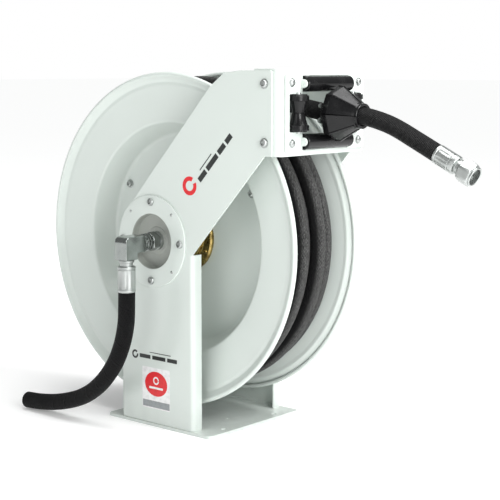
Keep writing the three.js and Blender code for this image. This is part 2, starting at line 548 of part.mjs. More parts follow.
// ---- Roller guide between the arm tips ----------------------------------------------------------
const ROLLER_X = GUIDE_FACE + ROLLER_AHEAD;
const PLATE_FROM = GUIDE_FACE + GAP;
const PLATE_TO = PLATE_FROM + GUIDE_SHEET;
const BOBBIN_WINDOW_HALF_WIDTH = BOBBIN_SPACING + BOBBIN_RADIUS + 4;
const screwPlaces = [[-1, 1], [1, 1], [-1, -1], [1, -1]].map(([y, z]) =>
  [y * (ROLLER_PLATE_HALF_WIDTH - 14), z * (ROLLER_SPACING + 2)]);

// Both windows of the cross-shaped opening, let out sideways and past the rollers' pin ends.
const windowCuts = (x0, x1, slack, pinSlack) => [
  block(x0, x1, -ROLLER_HALF_LENGTH - 1 - pinSlack, ROLLER_HALF_LENGTH + 1 + pinSlack,
    -WINDOW_HALF_HEIGHT - slack, WINDOW_HALF_HEIGHT + slack),
  block(x0, x1, -BOBBIN_WINDOW_HALF_WIDTH - slack, BOBBIN_WINDOW_HALF_WIDTH + slack,
    -BOBBIN_HALF_LENGTH - 0.6 - pinSlack, BOBBIN_HALF_LENGTH + 0.6 + pinSlack),
];
const screwHole = ([y, z]) =>
  rod(BOLT_RADIUS + GAP, GUIDE_FACE - 20, PLATE_TO + 5, BOLT_SIDES).rotateZ(-Math.PI / 2).translate(0, y, z);

function guideBox() {
  const half = ARM_OUTER - ARM_SHEET - GAP;
  const at = half - GUIDE_BEND;
  const bend = GUIDE_BEND - GUIDE_SHEET;
  const front = GUIDE_FACE - GUIDE_BEND;
  const section = [
    [GUIDE_BACK, -half], ...arc(front, -at, GUIDE_BEND, 270, 360, 5), ...arc(front, at, GUIDE_BEND, 0, 90, 5),
    [GUIDE_BACK, half], [GUIDE_BACK, half - GUIDE_SHEET], ...arc(front, at, bend, 90, 0, 5),
    ...arc(front, -at, bend, 360, 270, 5), [GUIDE_BACK, GUIDE_SHEET - half],
  ];
  const box = solid(barUp(section, GUIDE_BOTTOM - GUIDE_HEIGHT, GUIDE_TOP - GUIDE_HEIGHT));
  const boltHole = ([x, z]) =>
    rod(BOLT_RADIUS + GAP, -half - 1, half + 1, BOLT_SIDES).translate(x, 0, z - GUIDE_HEIGHT);
  const windows = windowCuts(GUIDE_FACE - 20, GUIDE_FACE + 1, 0.6, LUG_SHEET + 2);
  return geometryOf(cut(box, ...windows, ...armBoltPlaces.map(boltHole), ...screwPlaces.map(screwHole)));
}

// The plate carries four pairs of lugs, one at each end of each roller's pin.
const LUG_OUT = ROLLER_AHEAD + PIN_RADIUS + 4;
function rollerPlate() {
  const w = ROLLER_PLATE_HALF_WIDTH;
  const h = ROLLER_PLATE_HALF_HEIGHT;
  const windows = windowCuts(PLATE_FROM - 1, PLATE_TO + 1, 0, 0);
  const plate = cut(solid(block(PLATE_FROM, PLATE_TO, -w, w, -h, h)), ...windows);
  const lugs = [];
  const pins = [];
  const lugTo = GUIDE_FACE + LUG_OUT;
  for (const s of [-1, 1]) {
    const z = s * ROLLER_SPACING;
    for (const e of [-1, 1]) {
      const [y0, y1] = [ROLLER_HALF_LENGTH + 1.2, ROLLER_HALF_LENGTH + 1.2 + LUG_SHEET].map((y) => e * y);
      lugs.push(block(PLATE_FROM, lugTo, Math.min(y0, y1), Math.max(y0, y1), z - 9, z + 9));
      const [z0, z1] = [BOBBIN_HALF_LENGTH + 0.8, BOBBIN_HALF_LENGTH + 0.8 + LUG_SHEET].map((v) => e * v);
      lugs.push(block(PLATE_FROM, lugTo, s * BOBBIN_SPACING - 7, s * BOBBIN_SPACING + 7, Math.min(z0, z1),
        Math.max(z0, z1)));
    }
    const reach = ROLLER_HALF_LENGTH + LUG_SHEET + 5;
    pins.push(rod(PIN_RADIUS + GAP, -reach, reach, 16).translate(ROLLER_X, 0, z));
    pins.push(rod(BOBBIN_PIN_RADIUS + GAP, -BOBBIN_HALF_LENGTH - 4, BOBBIN_HALF_LENGTH + 4, 12)
      .rotateX(Math.PI / 2).translate(ROLLER_X, s * BOBBIN_SPACING, 0));
  }
  const whole = lugs.reduce((sum, lug) => sum.add(solid(lug)), plate);
  return geometryOf(cut(whole, ...pins, ...screwPlaces.map(screwHole)));
}

function buildGuide() {
  add("guide_box", guideBox(), paint(), 0, 0, GUIDE_HEIGHT);
  add("roller_plate", rollerPlate(), paint(), 0, 0, GUIDE_HEIGHT);
  screwPlaces.forEach(([y, z], i) => {
    const screw = boltAcrossY(1, 0, -GUIDE_SHEET * 2 - 4).rotateZ(-Math.PI / 2);
    add(`guide_screw_${i + 1}`, screw, zinc(), PLATE_TO + GAP, y, GUIDE_HEIGHT + z);
  });
  const half = ROLLER_HALF_LENGTH;
  const pinHalf = half + LUG_SHEET + 1.5;
  const lyingRoller = () => ring(PIN_RADIUS + RUNNING, ROLLER_RADIUS, -half, half);
  const lyingPin = () => rod(PIN_RADIUS, -pinHalf, pinHalf);
  for (const [name, s] of [["top", 1], ["bottom", -1]]) {
    const z = GUIDE_HEIGHT + s * ROLLER_SPACING;
    add(`${name}_roller`, lyingRoller(), plastic(), ROLLER_X, 0, z);
    add(`${name}_roller_pin`, lyingPin(), zinc(), ROLLER_X, 0, z);
  }
  const h = BOBBIN_HALF_LENGTH;
  const bore = BOBBIN_PIN_RADIUS + RUNNING;
  const bobbin = [
    [bore, -h], [BOBBIN_RADIUS, -h], [BOBBIN_RADIUS, -h + 8], [BOBBIN_WAIST + 1.5, -8], [BOBBIN_WAIST, 0],
    [BOBBIN_WAIST + 1.5, 8], [BOBBIN_RADIUS, h - 8], [BOBBIN_RADIUS, h], [bore, h],
  ];
  for (const [name, s] of [["near", -1], ["far", 1]]) {
    const roller = turned(bobbin).rotateX(Math.PI / 2);
    add(`${name}_roller`, roller, plastic(), ROLLER_X, s * BOBBIN_SPACING, GUIDE_HEIGHT);
    const pin = rod(BOBBIN_PIN_RADIUS, -h - LUG_SHEET, h + LUG_SHEET, 12).rotateX(Math.PI / 2);
    add(`${name}_roller_pin`, pin, zinc(), ROLLER_X, s * BOBBIN_SPACING, GUIDE_HEIGHT);
  }
}

// ---- Outlet: strand from the coil, stopper, ferrule and swivel nut -------------------------------
function buildOutlet() {
  const guideDistance = Math.hypot(GUIDE_FACE, GUIDE_HEIGHT - AXIS_HEIGHT);
  const guideAngle = THREE.MathUtils.radToDeg(Math.atan2(GUIDE_HEIGHT - AXIS_HEIGHT, GUIDE_FACE));
  const leaveAngle = guideAngle + THREE.MathUtils.radToDeg(Math.acos(STRAND_RADIUS / guideDistance));
  const wrapSteps = 12;
  const wrapped = Array.from({ length: wrapSteps + 1 }, (_, i) => {
    const rise = THREE.MathUtils.smoothstep(i / wrapSteps, 0.1, 0.75);
    const radius = THREE.MathUtils.lerp(STRAND_START_RADIUS, STRAND_RADIUS, rise);
    const angle = leaveAngle + STRAND_WRAP * (1 - i / wrapSteps);
    const [x, z] = arc(0, AXIS_HEIGHT, radius, angle, angle, 1)[0];
    return new THREE.Vector3(x, STRAND_OFFSET, z);
  });
  const leave = wrapped[wrapped.length - 1];
  const guide = new THREE.Vector3(GUIDE_FACE, 0, GUIDE_HEIGHT);
  const straight = [0.25, 0.5, 0.75].map((t) => new THREE.Vector3().lerpVectors(leave, guide, t));
  const ahead = [
    [26, -1.3], [52, -2.8], [79.5, -5.7], [102, -10.5], [124, -17.1], [145, -25.9], [164.7, -35.5],
    [185, -45.4], [205.3, -55.4],
  ].map(([x, z]) => new THREE.Vector3(GUIDE_FACE + x, 0, GUIDE_HEIGHT + z));
  const route = [...wrapped, ...straight, guide, ...ahead];
  add("outlet_hose", tubeAlong(route, HOSE_RADIUS, 42, 8), rubber());

  const end = route[route.length - 1];
  const before = route[route.length - 2];
  const direction = new THREE.Vector3().subVectors(end, before).normalize();
  const outlet = new THREE.Group();
  outlet.position.copy(end);
  outlet.quaternion.setFromUnitVectors(new THREE.Vector3(0, 1, 0), direction);
  const neck = 9.5;
  const nutFrom = FERRULE_LENGTH + OUTLET_NUT_GAP;
  const bore = 6.5;
  const ferrule = turned([
    [bore, 0.6], [FERRULE_RADIUS, 0.6], [FERRULE_RADIUS, FERRULE_LENGTH - 1],
    [FERRULE_RADIUS - 1, FERRULE_LENGTH], [neck, FERRULE_LENGTH], [neck, nutFrom + 12], [bore, nutFrom + 12],
  ]);
  const nutLength = OUTLET_NUT_LENGTH;
  const nut = cut(solid(plateAcrossY(hexagon(OUTLET_NUT_ACROSS_FLATS), nutFrom, nutFrom + nutLength)),
    rod(neck + RUNNING, nutFrom - 1, nutFrom + 13), rod(12, nutFrom + 12.5, nutFrom + nutLength + 1));
  for (const [name, geometry] of [["outlet_ferrule", ferrule], ["outlet_nut", geometryOf(nut)]]) {
    const mesh = new THREE.Mesh(geometry, zinc());
    mesh.name = name;
    outlet.add(mesh);
  }
  model.add(outlet);

  const bite = HOSE_RADIUS + 1.6;
  const length = STOPPER_LENGTH;
  const shape = turned([
    [bite, 0], [STOPPER_RADIUS - 18, 0], [STOPPER_RADIUS - 9, 6.5], [STOPPER_RADIUS - 1, 9.5],
    [STOPPER_RADIUS, 12], [STOPPER_RADIUS, 22], [STOPPER_NECK + 1.5, length - 6],
    [STOPPER_NECK, length], [bite, length],
  ], 16);
  const start = new THREE.Vector3(STOPPER_START, 0, GUIDE_HEIGHT - 0.5);
  const stopper = new THREE.Group();
  stopper.position.copy(start);
  const tilted = new THREE.Vector3(1, 0, -0.075).normalize(); // along the hose, which already sags here
  stopper.quaternion.setFromUnitVectors(new THREE.Vector3(0, 1, 0), tilted);
  const big = 2 * STOPPER_RADIUS;
  for (const [name, s] of [["stopper_lower", 1], ["stopper_upper", -1]]) {
    const half = block(Math.min(s * GAP, s * big), Math.max(s * GAP, s * big), -5, length + 5, -big, big);
    const mesh = new THREE.Mesh(geometryOf(solid(shape).intersect(solid(half))), plastic());
    mesh.name = name;
    stopper.add(mesh);
  }
  model.add(stopper);
}

buildStand();
buildHubs();
buildInlet();
buildDrum();
buildRewind();
buildGuide();
buildOutlet();

export default model;
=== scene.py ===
# %% [markdown]
# A spring-rewind hose reel, made piece by piece. The frame brings every part in at its real place, so
# each step below only says what a piece really is, and builds its fine surface there. Sizes are in
# millimetres and become metres when a mesh is closed.

import math

import bmesh
import bpy
from mathutils import Matrix, Vector


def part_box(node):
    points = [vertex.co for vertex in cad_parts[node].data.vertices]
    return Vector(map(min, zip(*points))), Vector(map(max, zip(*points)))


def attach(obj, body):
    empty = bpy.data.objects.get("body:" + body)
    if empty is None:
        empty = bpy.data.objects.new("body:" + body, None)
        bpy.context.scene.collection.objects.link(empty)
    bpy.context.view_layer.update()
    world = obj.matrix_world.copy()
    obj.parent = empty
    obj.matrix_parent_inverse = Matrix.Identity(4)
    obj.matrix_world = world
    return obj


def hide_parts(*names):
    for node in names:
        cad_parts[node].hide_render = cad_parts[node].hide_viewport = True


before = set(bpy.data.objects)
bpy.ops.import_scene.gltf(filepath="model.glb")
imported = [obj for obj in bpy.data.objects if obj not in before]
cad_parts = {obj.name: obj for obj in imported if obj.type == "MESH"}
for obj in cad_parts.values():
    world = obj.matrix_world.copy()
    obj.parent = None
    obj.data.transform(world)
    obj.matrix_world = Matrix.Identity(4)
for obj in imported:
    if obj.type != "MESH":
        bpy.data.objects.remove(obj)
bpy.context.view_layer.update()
MM = 0.001
X, Y, Z = Vector((1, 0, 0)), Vector((0, 1, 0)), Vector((0, 0, 1))


# %% Where a part of the frame lies
def span(node):
    """The lowest and the highest corner of a part, in millimetres."""
    low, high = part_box(node)
    return low / MM, high / MM


def middle(node):
    low, high = span(node)
    return (low + high) / 2


DISC_LOW, DISC_HIGH = span("near_disc")
AXIS = middle("near_disc").z
DISC_RADIUS = (DISC_HIGH.x - DISC_LOW.x) / 2
RIM_OUT = -DISC_LOW.y
ARM_OUTER = -span("near_arm")[0].y
HOSE_RADIUS = 13.75
SIDES = (("near", -1), ("far", 1))
print(f"disc {2 * DISC_RADIUS:.0f} mm across, axis {AXIS:.0f} mm up, arms {2 * ARM_OUTER:.0f} mm apart")

# %% [markdown]
# The camera comes first, because the hoses are judged by what it sees. It stands to the front and to
# the inlet side, a little above the hub, with a long lens so that the arms stay nearly parallel.

# %% The camera
LENS = 95.31
LENS_SHIFT = -0.10
AZIMUTH = math.radians(40.84)
PITCH = math.radians(-5.641)
camera = bpy.data.objects.new("camera", bpy.data.cameras.new("camera"))
camera.data.lens = LENS
camera.data.shift_y = LENS_SHIFT
camera.location = (1.50742, -1.61239, 0.58152)
level = math.cos(PITCH)
looking = Vector((-math.sin(AZIMUTH) * level, math.cos(AZIMUTH) * level, math.sin(PITCH)))
camera.rotation_euler = looking.to_track_quat("-Z", "Y").to_euler()
bpy.context.scene.collection.objects.link(camera)
bpy.context.scene.camera = camera
print(f"camera {camera.location.length:.2f} m from the foot of the stand")

# %% [markdown]
# Every finish is a node tree. Writing its sums as plain Python keeps them readable: a Flow is what
# leaves one socket, and adding or multiplying flows places the Math nodes.


# %% Sums of shader values
class Flow:
    """What leaves a socket of a finish. Arithmetic on it adds Math nodes."""

    def __init__(self, finish, socket):
        self.finish = finish
        self.socket = socket

    def _math(self, operation, first, second=0.0):
        return self.finish.node("ShaderNodeMath", {"operation": operation}, {0: first, 1: second})

    def __add__(self, other):
        return self._math("ADD", self, other)

    def __sub__(self, other):
        return self._math("SUBTRACT", self, other)

    def __rsub__(self, other):
        return self._math("SUBTRACT", other, self)

    def __mul__(self, other):
        return self._math("MULTIPLY", self, other)

    def sine(self):
        return self._math("SINE", self)

    def above(self, low, high):
        """0 below low, 1 above high, and smooth between them."""
        ends = {"Value": self, "From Min": low, "From Max": high}
        return self.finish.node("ShaderNodeMapRange", {"interpolation_type": "SMOOTHSTEP"}, ends)

    __radd__ = __add__
    __rmul__ = __mul__


print("a Flow can be added, subtracted and multiplied")


# %% A finish: one material and the nodes that vary it
class Finish:
    """A material with its Principled shader. slot is the name of the kind of surface that it belongs to."""

    def __init__(self, name, slot, surface):
        self.slot = slot
        self.material = bpy.data.materials.new(name)
        self.material.use_nodes = True
        self.tree = self.material.node_tree
        self.shader = self.tree.nodes["Principled BSDF"]
        for socket, value in surface.items():
            self.shader.inputs[socket].default_value = value

    def node(self, kind, settings=None, inputs=None, output=0):
        made = self.tree.nodes.new(kind)
        for name, value in (settings or {}).items():
            setattr(made, name, value)
        for name, value in (inputs or {}).items():
            self.give(made.inputs[name], value)
        return Flow(self, made.outputs[output])

    def give(self, socket, value):
        if isinstance(value, Flow):
            self.tree.links.new(value.socket, socket)
        else:
            socket.default_value = value

    def feed(self, **flows):
        """feed(Base_Color=flow) joins flows to the shader's own sockets."""
        for name, value in flows.items():
            self.give(self.shader.inputs[name.replace("_", " ")], value)

    def place(self, stretch=(1, 1, 1)):
        """Places on the piece itself, in metres, drawn out by a factor along each axis."""
        here = self.node("ShaderNodeTexCoord", output="Object")
        return self.node("ShaderNodeVectorMath", {"operation": "MULTIPLY"}, {0: here, 1: stretch})

    def noise(self, scale, detail=3.0, stretch=(1, 1, 1)):
        inputs = {"Vector": self.place(stretch), "Scale": scale, "Detail": detail}
        return self.node("ShaderNodeTexNoise", None, inputs)

    def mix(self, factor, first, second):
        return self.node("ShaderNodeMix", {"data_type": "RGBA"}, {0: factor, 6: first, 7: second}, 2)

    def bump(self, height, strength, distance):
        inputs = {"Height": height, "Strength": strength, "Distance": distance}
        self.feed(Normal=self.node("ShaderNodeBump", None, inputs))

    def part(self, vector, axis):
        return self.node("ShaderNodeSeparateXYZ", None, {0: vector}, axis)


def darker(colour, share):
    return tuple(c * share for c in colour[:3]) + (1,)


print("finishes can be mixed")

# %% [markdown]
# The stand, the discs and the guide are powder coated: a pale grey-white plastic skin, baked on. Up
# close it has the fine ripple of an orange's skin, and in use it gathers faint smears, dust near the
# floor and a few darker rubs. So the ripple goes in the bump and the rest into colour and roughness.


# %% Powder coat
def powder_coat(name, colour, grime):
    coat = Finish(name, "white_paint", {"Roughness": 0.3, "Coat Weight": 0.35, "Coat Roughness": 0.12})
    smear = coat.noise(9.0, 2.0).above(0.05, 0.95)
    speck = coat.noise(520.0, 2.0).above(0.74, 0.80)
    low_down = 1 - coat.part(coat.place(), "Z").above(0.0, 0.05)
    dust = low_down * coat.noise(38.0, 4.0).above(0.30, 0.80)
    tint = coat.mix(smear, colour, darker(colour, 0.97))
    worn = coat.mix(speck * 0.10 + dust * 0.14, tint, grime)
    coat.feed(Base_Color=worn, Roughness=0.27 + smear * 0.06 + dust * 0.15)
    coat.bump(coat.noise(650.0, 1.0) * 0.35 + coat.noise(140.0, 1.0), 0.12, 0.0003)
    return coat


PALE = powder_coat("pale powder coat", (0.655, 0.712, 0.675, 1), (0.30, 0.30, 0.27, 1))
print("coated:", PALE.material.name)

# %% [markdown]
# Bolts, ferrules and nuts are zinc plated: a soft silver with cloudy patches where the plating took
# differently and fine lines from turning. The elbow is nickel plated, so it mirrors more sharply, and
# the gland is bare turned brass with rings that run round the axle.


# %% Metals
def plated(name, slot, light, dark, rough, cloud=55.0):
    metal = Finish(name, slot, {"Metallic": 1.0, "Roughness": rough})
    patches = metal.noise(cloud, 3.0).above(0.25, 0.80)
    lines = metal.noise(500.0, 2.0, stretch=(6, 0.5, 1))
    colour = metal.mix(patches, light, dark)
    metal.feed(Base_Color=colour, Roughness=rough - 0.04 + lines * 0.08 + patches * 0.05)
    metal.bump(lines, 0.06, 0.0001)
    return metal


ZINC = plated("bright zinc plate", "zinc_plate", (0.49, 0.51, 0.50, 1), (0.40, 0.42, 0.41, 1), 0.36)
NICKEL = plated("polished nickel plate", "bright_nickel", (0.36, 0.38, 0.37, 1), (0.28, 0.30, 0.29, 1), 0.16)
SPRING = plated("blued spring steel", "spring_steel", (0.20, 0.21, 0.24, 1), (0.12, 0.11, 0.12, 1), 0.38)
CUP = plated("plain steel cup", "white_paint", (0.42, 0.44, 0.41, 1), (0.36, 0.38, 0.35, 1), 0.5, 25.0)
CUP.feed(Metallic=0.35)
print("plated:", ", ".join(f.material.name for f in (ZINC, NICKEL, SPRING, CUP)))

# %% Turned brass
RINGS_PER_METRE = 5200.0


def turned_brass():
    brass = Finish("turned brass", "yellow_brass", {"Metallic": 1.0})
    place = brass.place()
    height = brass.part(place, "Z") - AXIS * MM
    across = brass.node("ShaderNodeCombineXYZ", None, {0: brass.part(place, "X"), 1: height})
    radius = brass.node("ShaderNodeVectorMath", {"operation": "LENGTH"}, {0: across}, "Value")
    rings = (radius * RINGS_PER_METRE).sine()
    stain = brass.noise(60.0, 5.0).above(0.40, 0.70)
    colour = brass.mix(stain, (0.46, 0.34, 0.12, 1), (0.20, 0.14, 0.05, 1))
    brass.feed(Base_Color=colour, Roughness=0.2 + stain * 0.2)
    brass.bump(rings * 0.4 + brass.noise(500.0), 0.2, 0.0003)
    return brass


BRASS = turned_brass()
print("gland finish:", BRASS.material.name)

# %% [markdown]
# The hose is black rubber that was cured inside a wrapping of cloth, which leaves its weave pressed
# into the skin and a faint step where each turn of the wrap lay over the last. Tubes carry a map of
# their turn and their length, so the weave follows the hose round every bend. Where the hose is
# handled, the tops of the weave rub grey. On the reel, the side of the hose that faces out is painted
# lighter grey as well: a painted highlight laid over the real rubbing.

# %% Hose rubber
WARP_THREADS = 26
WARP_LEAN = 1100.0
WEFT_PITCH = 1900.0
WEFT_LEAN = -7
WRAP_PITCH = 210.0
BLACK = (0.004, 0.004, 0.0045, 1)
DEEP_BLACK = (0.002, 0.002, 0.0025, 1)
RUBBED_AND_HIGHLIGHT_GREY = (0.24, 0.24, 0.235, 1)


def hose_rubber(name, tone, rub_and_highlight, outward=0, unworn_after=None):
    """Black rubber with a pressed weave. rub_and_highlight is how grey its tops are painted: real rubbing
    and a painted highlight.

    outward is 1 or -1 for a hose on the reel, where the painted highlight goes only on the side that
    faces out, and unworn_after is the length in metres after which the hose is no longer on the reel."""
    rubber = Finish(name, "hose_rubber", {"Specular IOR Level": 0.14})
    mapped = rubber.node("ShaderNodeTexCoord", output="UV")
    turn, length = rubber.part(mapped, "X"), rubber.part(mapped, "Y")
    warp = (turn * WARP_THREADS * math.tau + length * WARP_LEAN).sine()
    weft = (length * WEFT_PITCH + turn * WEFT_LEAN * math.tau).sine()
    wrap = (length * WRAP_PITCH + turn * math.tau).sine().above(0.93, 1.0)
    weave = warp * weft
    rub = rubber.noise(240.0, 3.0, stretch=(1, 4, 1)).above(0.15, 0.85)
    tops = weave.above(-0.3, 0.8) * rub
    # On the reel the grey is painted only on the side of the hose that faces out: a painted highlight on top
    # of the real rubbing.
    if outward:
        rub_and_highlight = rub_and_highlight * (turn * math.tau * outward).sine().above(0.5, 1.0)
    if unworn_after:
        rub_and_highlight = rub_and_highlight * (1 - length.above(0.3 * unworn_after, unworn_after)) + 0.12
    colour = rubber.mix((tops + rub * 0.25) * rub_and_highlight, tone, RUBBED_AND_HIGHLIGHT_GREY)
    rubber.feed(Base_Color=colour, Roughness=0.46 + rub * 0.12)
    rubber.bump(weave + wrap * 1.5 + rubber.noise(260.0, 3.0) * 0.6, 0.9, 0.0009)
    return rubber


# The outlet strand and the wound hose get the painted highlight where they lie on the reel; the inlet hose
# gets none.
RUBBER = hose_rubber("cloth-cured hose rubber", BLACK, 0.95, outward=1, unworn_after=0.42)
FRESH_RUBBER = hose_rubber("clean hose rubber", DEEP_BLACK, 0.02)
SCUFFED_RUBBER_PAINTED_HIGHLIGHT = hose_rubber("scuffed hose rubber with painted highlight", BLACK, 1.0, outward=-1)
print("rubbers:", ", ".join(f.material.name for f in (RUBBER, FRESH_RUBBER, SCUFFED_RUBBER_PAINTED_HIGHLIGHT)))

# %% [markdown]
# The rollers and the stopper are moulded nylon. It is smoother than the rubber, so it takes a soft
# shine, with a grey haze where it has been handled and a few specks of dust.


# %% Black nylon
def black_nylon():
    nylon = Finish("moulded black nylon", "black_plastic", {"Specular IOR Level": 0.3})
    haze = nylon.noise(30.0, 4.0).above(0.45, 0.75)
    dust = nylon.noise(700.0, 2.0).above(0.68, 0.76)
    colour = nylon.mix(haze * 0.15 + dust * 0.2, (0.005, 0.005, 0.0055, 1), (0.03, 0.03, 0.03, 1))
    nylon.feed(Base_Color=colour, Roughness=0.2 + haze * 0.15 + dust * 0.1)
    nylon.bump(nylon.noise(800.0, 2.0), 0.12, 0.0002)
    return nylon


NYLON = black_nylon()
print("rollers and stopper:", NYLON.material.name)

# %% [markdown]
# The printed marks are thin films: a red ring and dark bars on the arm and the post, and a label of
# white film. They carry plain shapes only. Each ink is slightly uneven, as screen printing is.


# %% Inks
def ink(name, colour, rough=0.35):
    film = Finish(name, "white_paint", {"Roughness": rough})
    uneven = film.noise(160.0, 4.0).above(0.35, 0.75)
    film.feed(Base_Color=film.mix(uneven, colour, darker(colour, 0.85)))
    film.bump(film.noise(500.0, 2.0), 0.08, 0.0002)
    return film


RED_INK = ink("red ink", (0.72, 0.012, 0.018, 1))
DARK_INK = ink("dark ink", (0.015, 0.018, 0.017, 1))
GREY_INK = ink("grey ink", (0.30, 0.32, 0.33, 1))
WHITE_FILM = ink("white label film", (0.86, 0.86, 0.86, 1), 0.25)
print("inks:", ", ".join(f.material.name for f in (RED_INK, DARK_INK, GREY_INK, WHITE_FILM)))

# %% [markdown]
# Most pieces are either turned on a lathe, folded from sheet, drawn as a tube or cut as a slab. One
# small tool for each follows. First come the shared ones: an arc, softened corners, a place to work
# in, and the step that closes a mesh.


# %% Outlines
def arc(cx, cy, radius, start, end, steps):
    """Points round part of a circle, between two angles in degrees."""
    angles = [math.radians(start + (end - start) * i / steps) for i in range(steps + 1)]
    return [(cx + radius * math.cos(a), cy + radius * math.sin(a)) for a in angles]


def oblong(x0, x1, y0, y1):
    return [(x0, y0), (x1, y0), (x1, y1), (x0, y1)]


def mirrored(outline):
    """An outline on the other side of its middle, in the order that carries on from it."""
    return [(across, -out) for across, out in reversed(outline)]


def soften(points, radius, steps=3, closed=True):
    """Rounds the corners of an outline. radius is one number, or one for each point."""
    count = len(points)
    radii = [radius] * count if isinstance(radius, (int, float)) else radius
    rounded = []
    for i, (point, wanted) in enumerate(zip(points, radii)):
        here = Vector(point)
        back = Vector(points[i - 1]) - here
        ahead = Vector(points[(i + 1) % count]) - here
        open_end = not closed and i in (0, count - 1)
        if wanted == 0 or open_end or back.length < 1e-6 or ahead.length < 1e-6:
            rounded.append(tuple(here))
            continue
        half = back.angle(ahead) / 2
        cut = min(wanted / max(math.tan(half), 1e-3), 0.45 * back.length, 0.45 * ahead.length)
        start, end = here + back.normalized() * cut, here + ahead.normalized() * cut
        for step in range(steps + 1):
            t = step / steps
            rounded.append(tuple(start * (1 - t) ** 2 + here * 2 * t * (1 - t) + end * t * t))
    return rounded


def thicken(path, thickness):
    """The closed outline of a sheet whose outer face follows an open path."""
    inner = []
    for i, (across, out) in enumerate(path):
        before, after = Vector(path[max(i - 1, 0)]), Vector(path[min(i + 1, len(path) - 1)])
        along = (after - before).normalized()
        inner.append((across + along.y * thickness, out - along.x * thickness))
    return path + inner[::-1]


print("outlines ready")


# %% A place to work in, and closing a mesh
def stance(centre, along, side=None):
    """A piece's own axes: its third lies along one direction and its first towards another."""
    along = Vector(along).normalized()
    side = Vector(side) if side else along.orthogonal()
    side = (side - along * side.dot(along)).normalized()
    matrix = Matrix((side, along.cross(side), along)).transposed().to_4x4()
    matrix.translation = Vector(centre)
    return matrix


def even_angles(sides):
    return [math.tau * s / sides for s in range(sides)]


def ring_at(at, radii, angles, height=0):
    """Points round a piece's own axis, with a radius for each angle."""
    return [at @ Vector((r * math.cos(a), r * math.sin(a), height)) for r, a in zip(radii, angles)]


def circle_at(at, radius, sides, height=0):
    return ring_at(at, [radius] * sides, even_angles(sides), height)


def linked(name, mesh):
    piece = bpy.data.objects.new(name, mesh)
    bpy.context.scene.collection.objects.link(piece)
    return piece


def join_rings(bm, rings, loop=False):
    """Faces between each ring of points and the next; loop joins the last to the first."""
    rows = [[bm.verts.new(point) for point in ring] for ring in rings]
    for near, far in zip(rows, rows[1:] + ([rows[0]] if loop else [])):
        for i in range(len(near)):
            j = (i + 1) % len(near)
            bm.faces.new((near[i], near[j], far[j], far[i]))
    if not loop:
        bm.faces.new(rows[0][::-1])
        bm.faces.new(rows[-1])


def close(name, bm, sharp=35):
    """Turns the millimetres into metres and the mesh into a piece, smooth but for its sharp edges."""
    bmesh.ops.remove_doubles(bm, verts=bm.verts, dist=1e-4)
    bmesh.ops.recalc_face_normals(bm, faces=bm.faces)
    bmesh.ops.scale(bm, vec=(MM, MM, MM), verts=bm.verts)
    mesh = bpy.data.meshes.new(name)
    bm.to_mesh(mesh)
    bm.free()
    mesh.shade_smooth()
    mesh.set_sharp_from_angle(angle=math.radians(sharp))
    return linked(name, mesh)


print("meshes can be closed")


# %% Modifiers, and handing a piece over
def worked(piece, *steps):
    """Runs modifiers on a piece and keeps what they made."""
    for kind, settings in steps:
        modifier = piece.modifiers.new(kind.lower(), kind)
        for name, value in settings.items():
            setattr(modifier, name, value)
    graph = bpy.context.evaluated_depsgraph_get()
    made = bpy.data.meshes.new_from_object(piece.evaluated_get(graph), depsgraph=graph)
    piece.modifiers.clear()
    piece.data = made
    return piece


def edge_break(width, angle=40, segments=3):
    return ("BEVEL", {"width": width * MM, "segments": segments, "limit_method": "ANGLE",
                      "angle_limit": math.radians(angle), "use_clamp_overlap": True})


EVEN_SHADING = ("WEIGHTED_NORMAL", {"keep_sharp": True, "weight": 60})


def settle(piece, body, finish, *nodes):
    """Gives a finished piece its material and its body, and hides the parts of the frame that it stands for.
    """
    piece.data.materials.clear()
    piece.data.materials.append(finish.material)
    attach(piece, body)
    if nodes:
        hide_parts(*nodes)
    print(f"{piece.name}: {len(piece.data.polygons)} faces on {body}")
    return piece


print("pieces can be closed and settled")


# %% Turned, folded, drawn and cut pieces
def turned(name, outline, at, sides=96):
    """Spins a closed (radius, height) outline. A radius may be a number or depend on the angle."""
    bm = bmesh.new()
    angles = even_angles(sides)
    rings = []
    for radius, height in outline:
        radii = [radius(a) if callable(radius) else radius for a in angles]
        rings.append(ring_at(at, radii, angles, height))
    join_rings(bm, rings, loop=True)
    return close(name, bm)


def flats(count, across):
    """The radius of a bar with a number of flats, at any angle."""
    step = math.tau / count
    return lambda angle: across / 2 / math.cos((angle + step / 2) % step - step / 2)


def within(shape, limit):
    return lambda angle: min(shape(angle), limit)


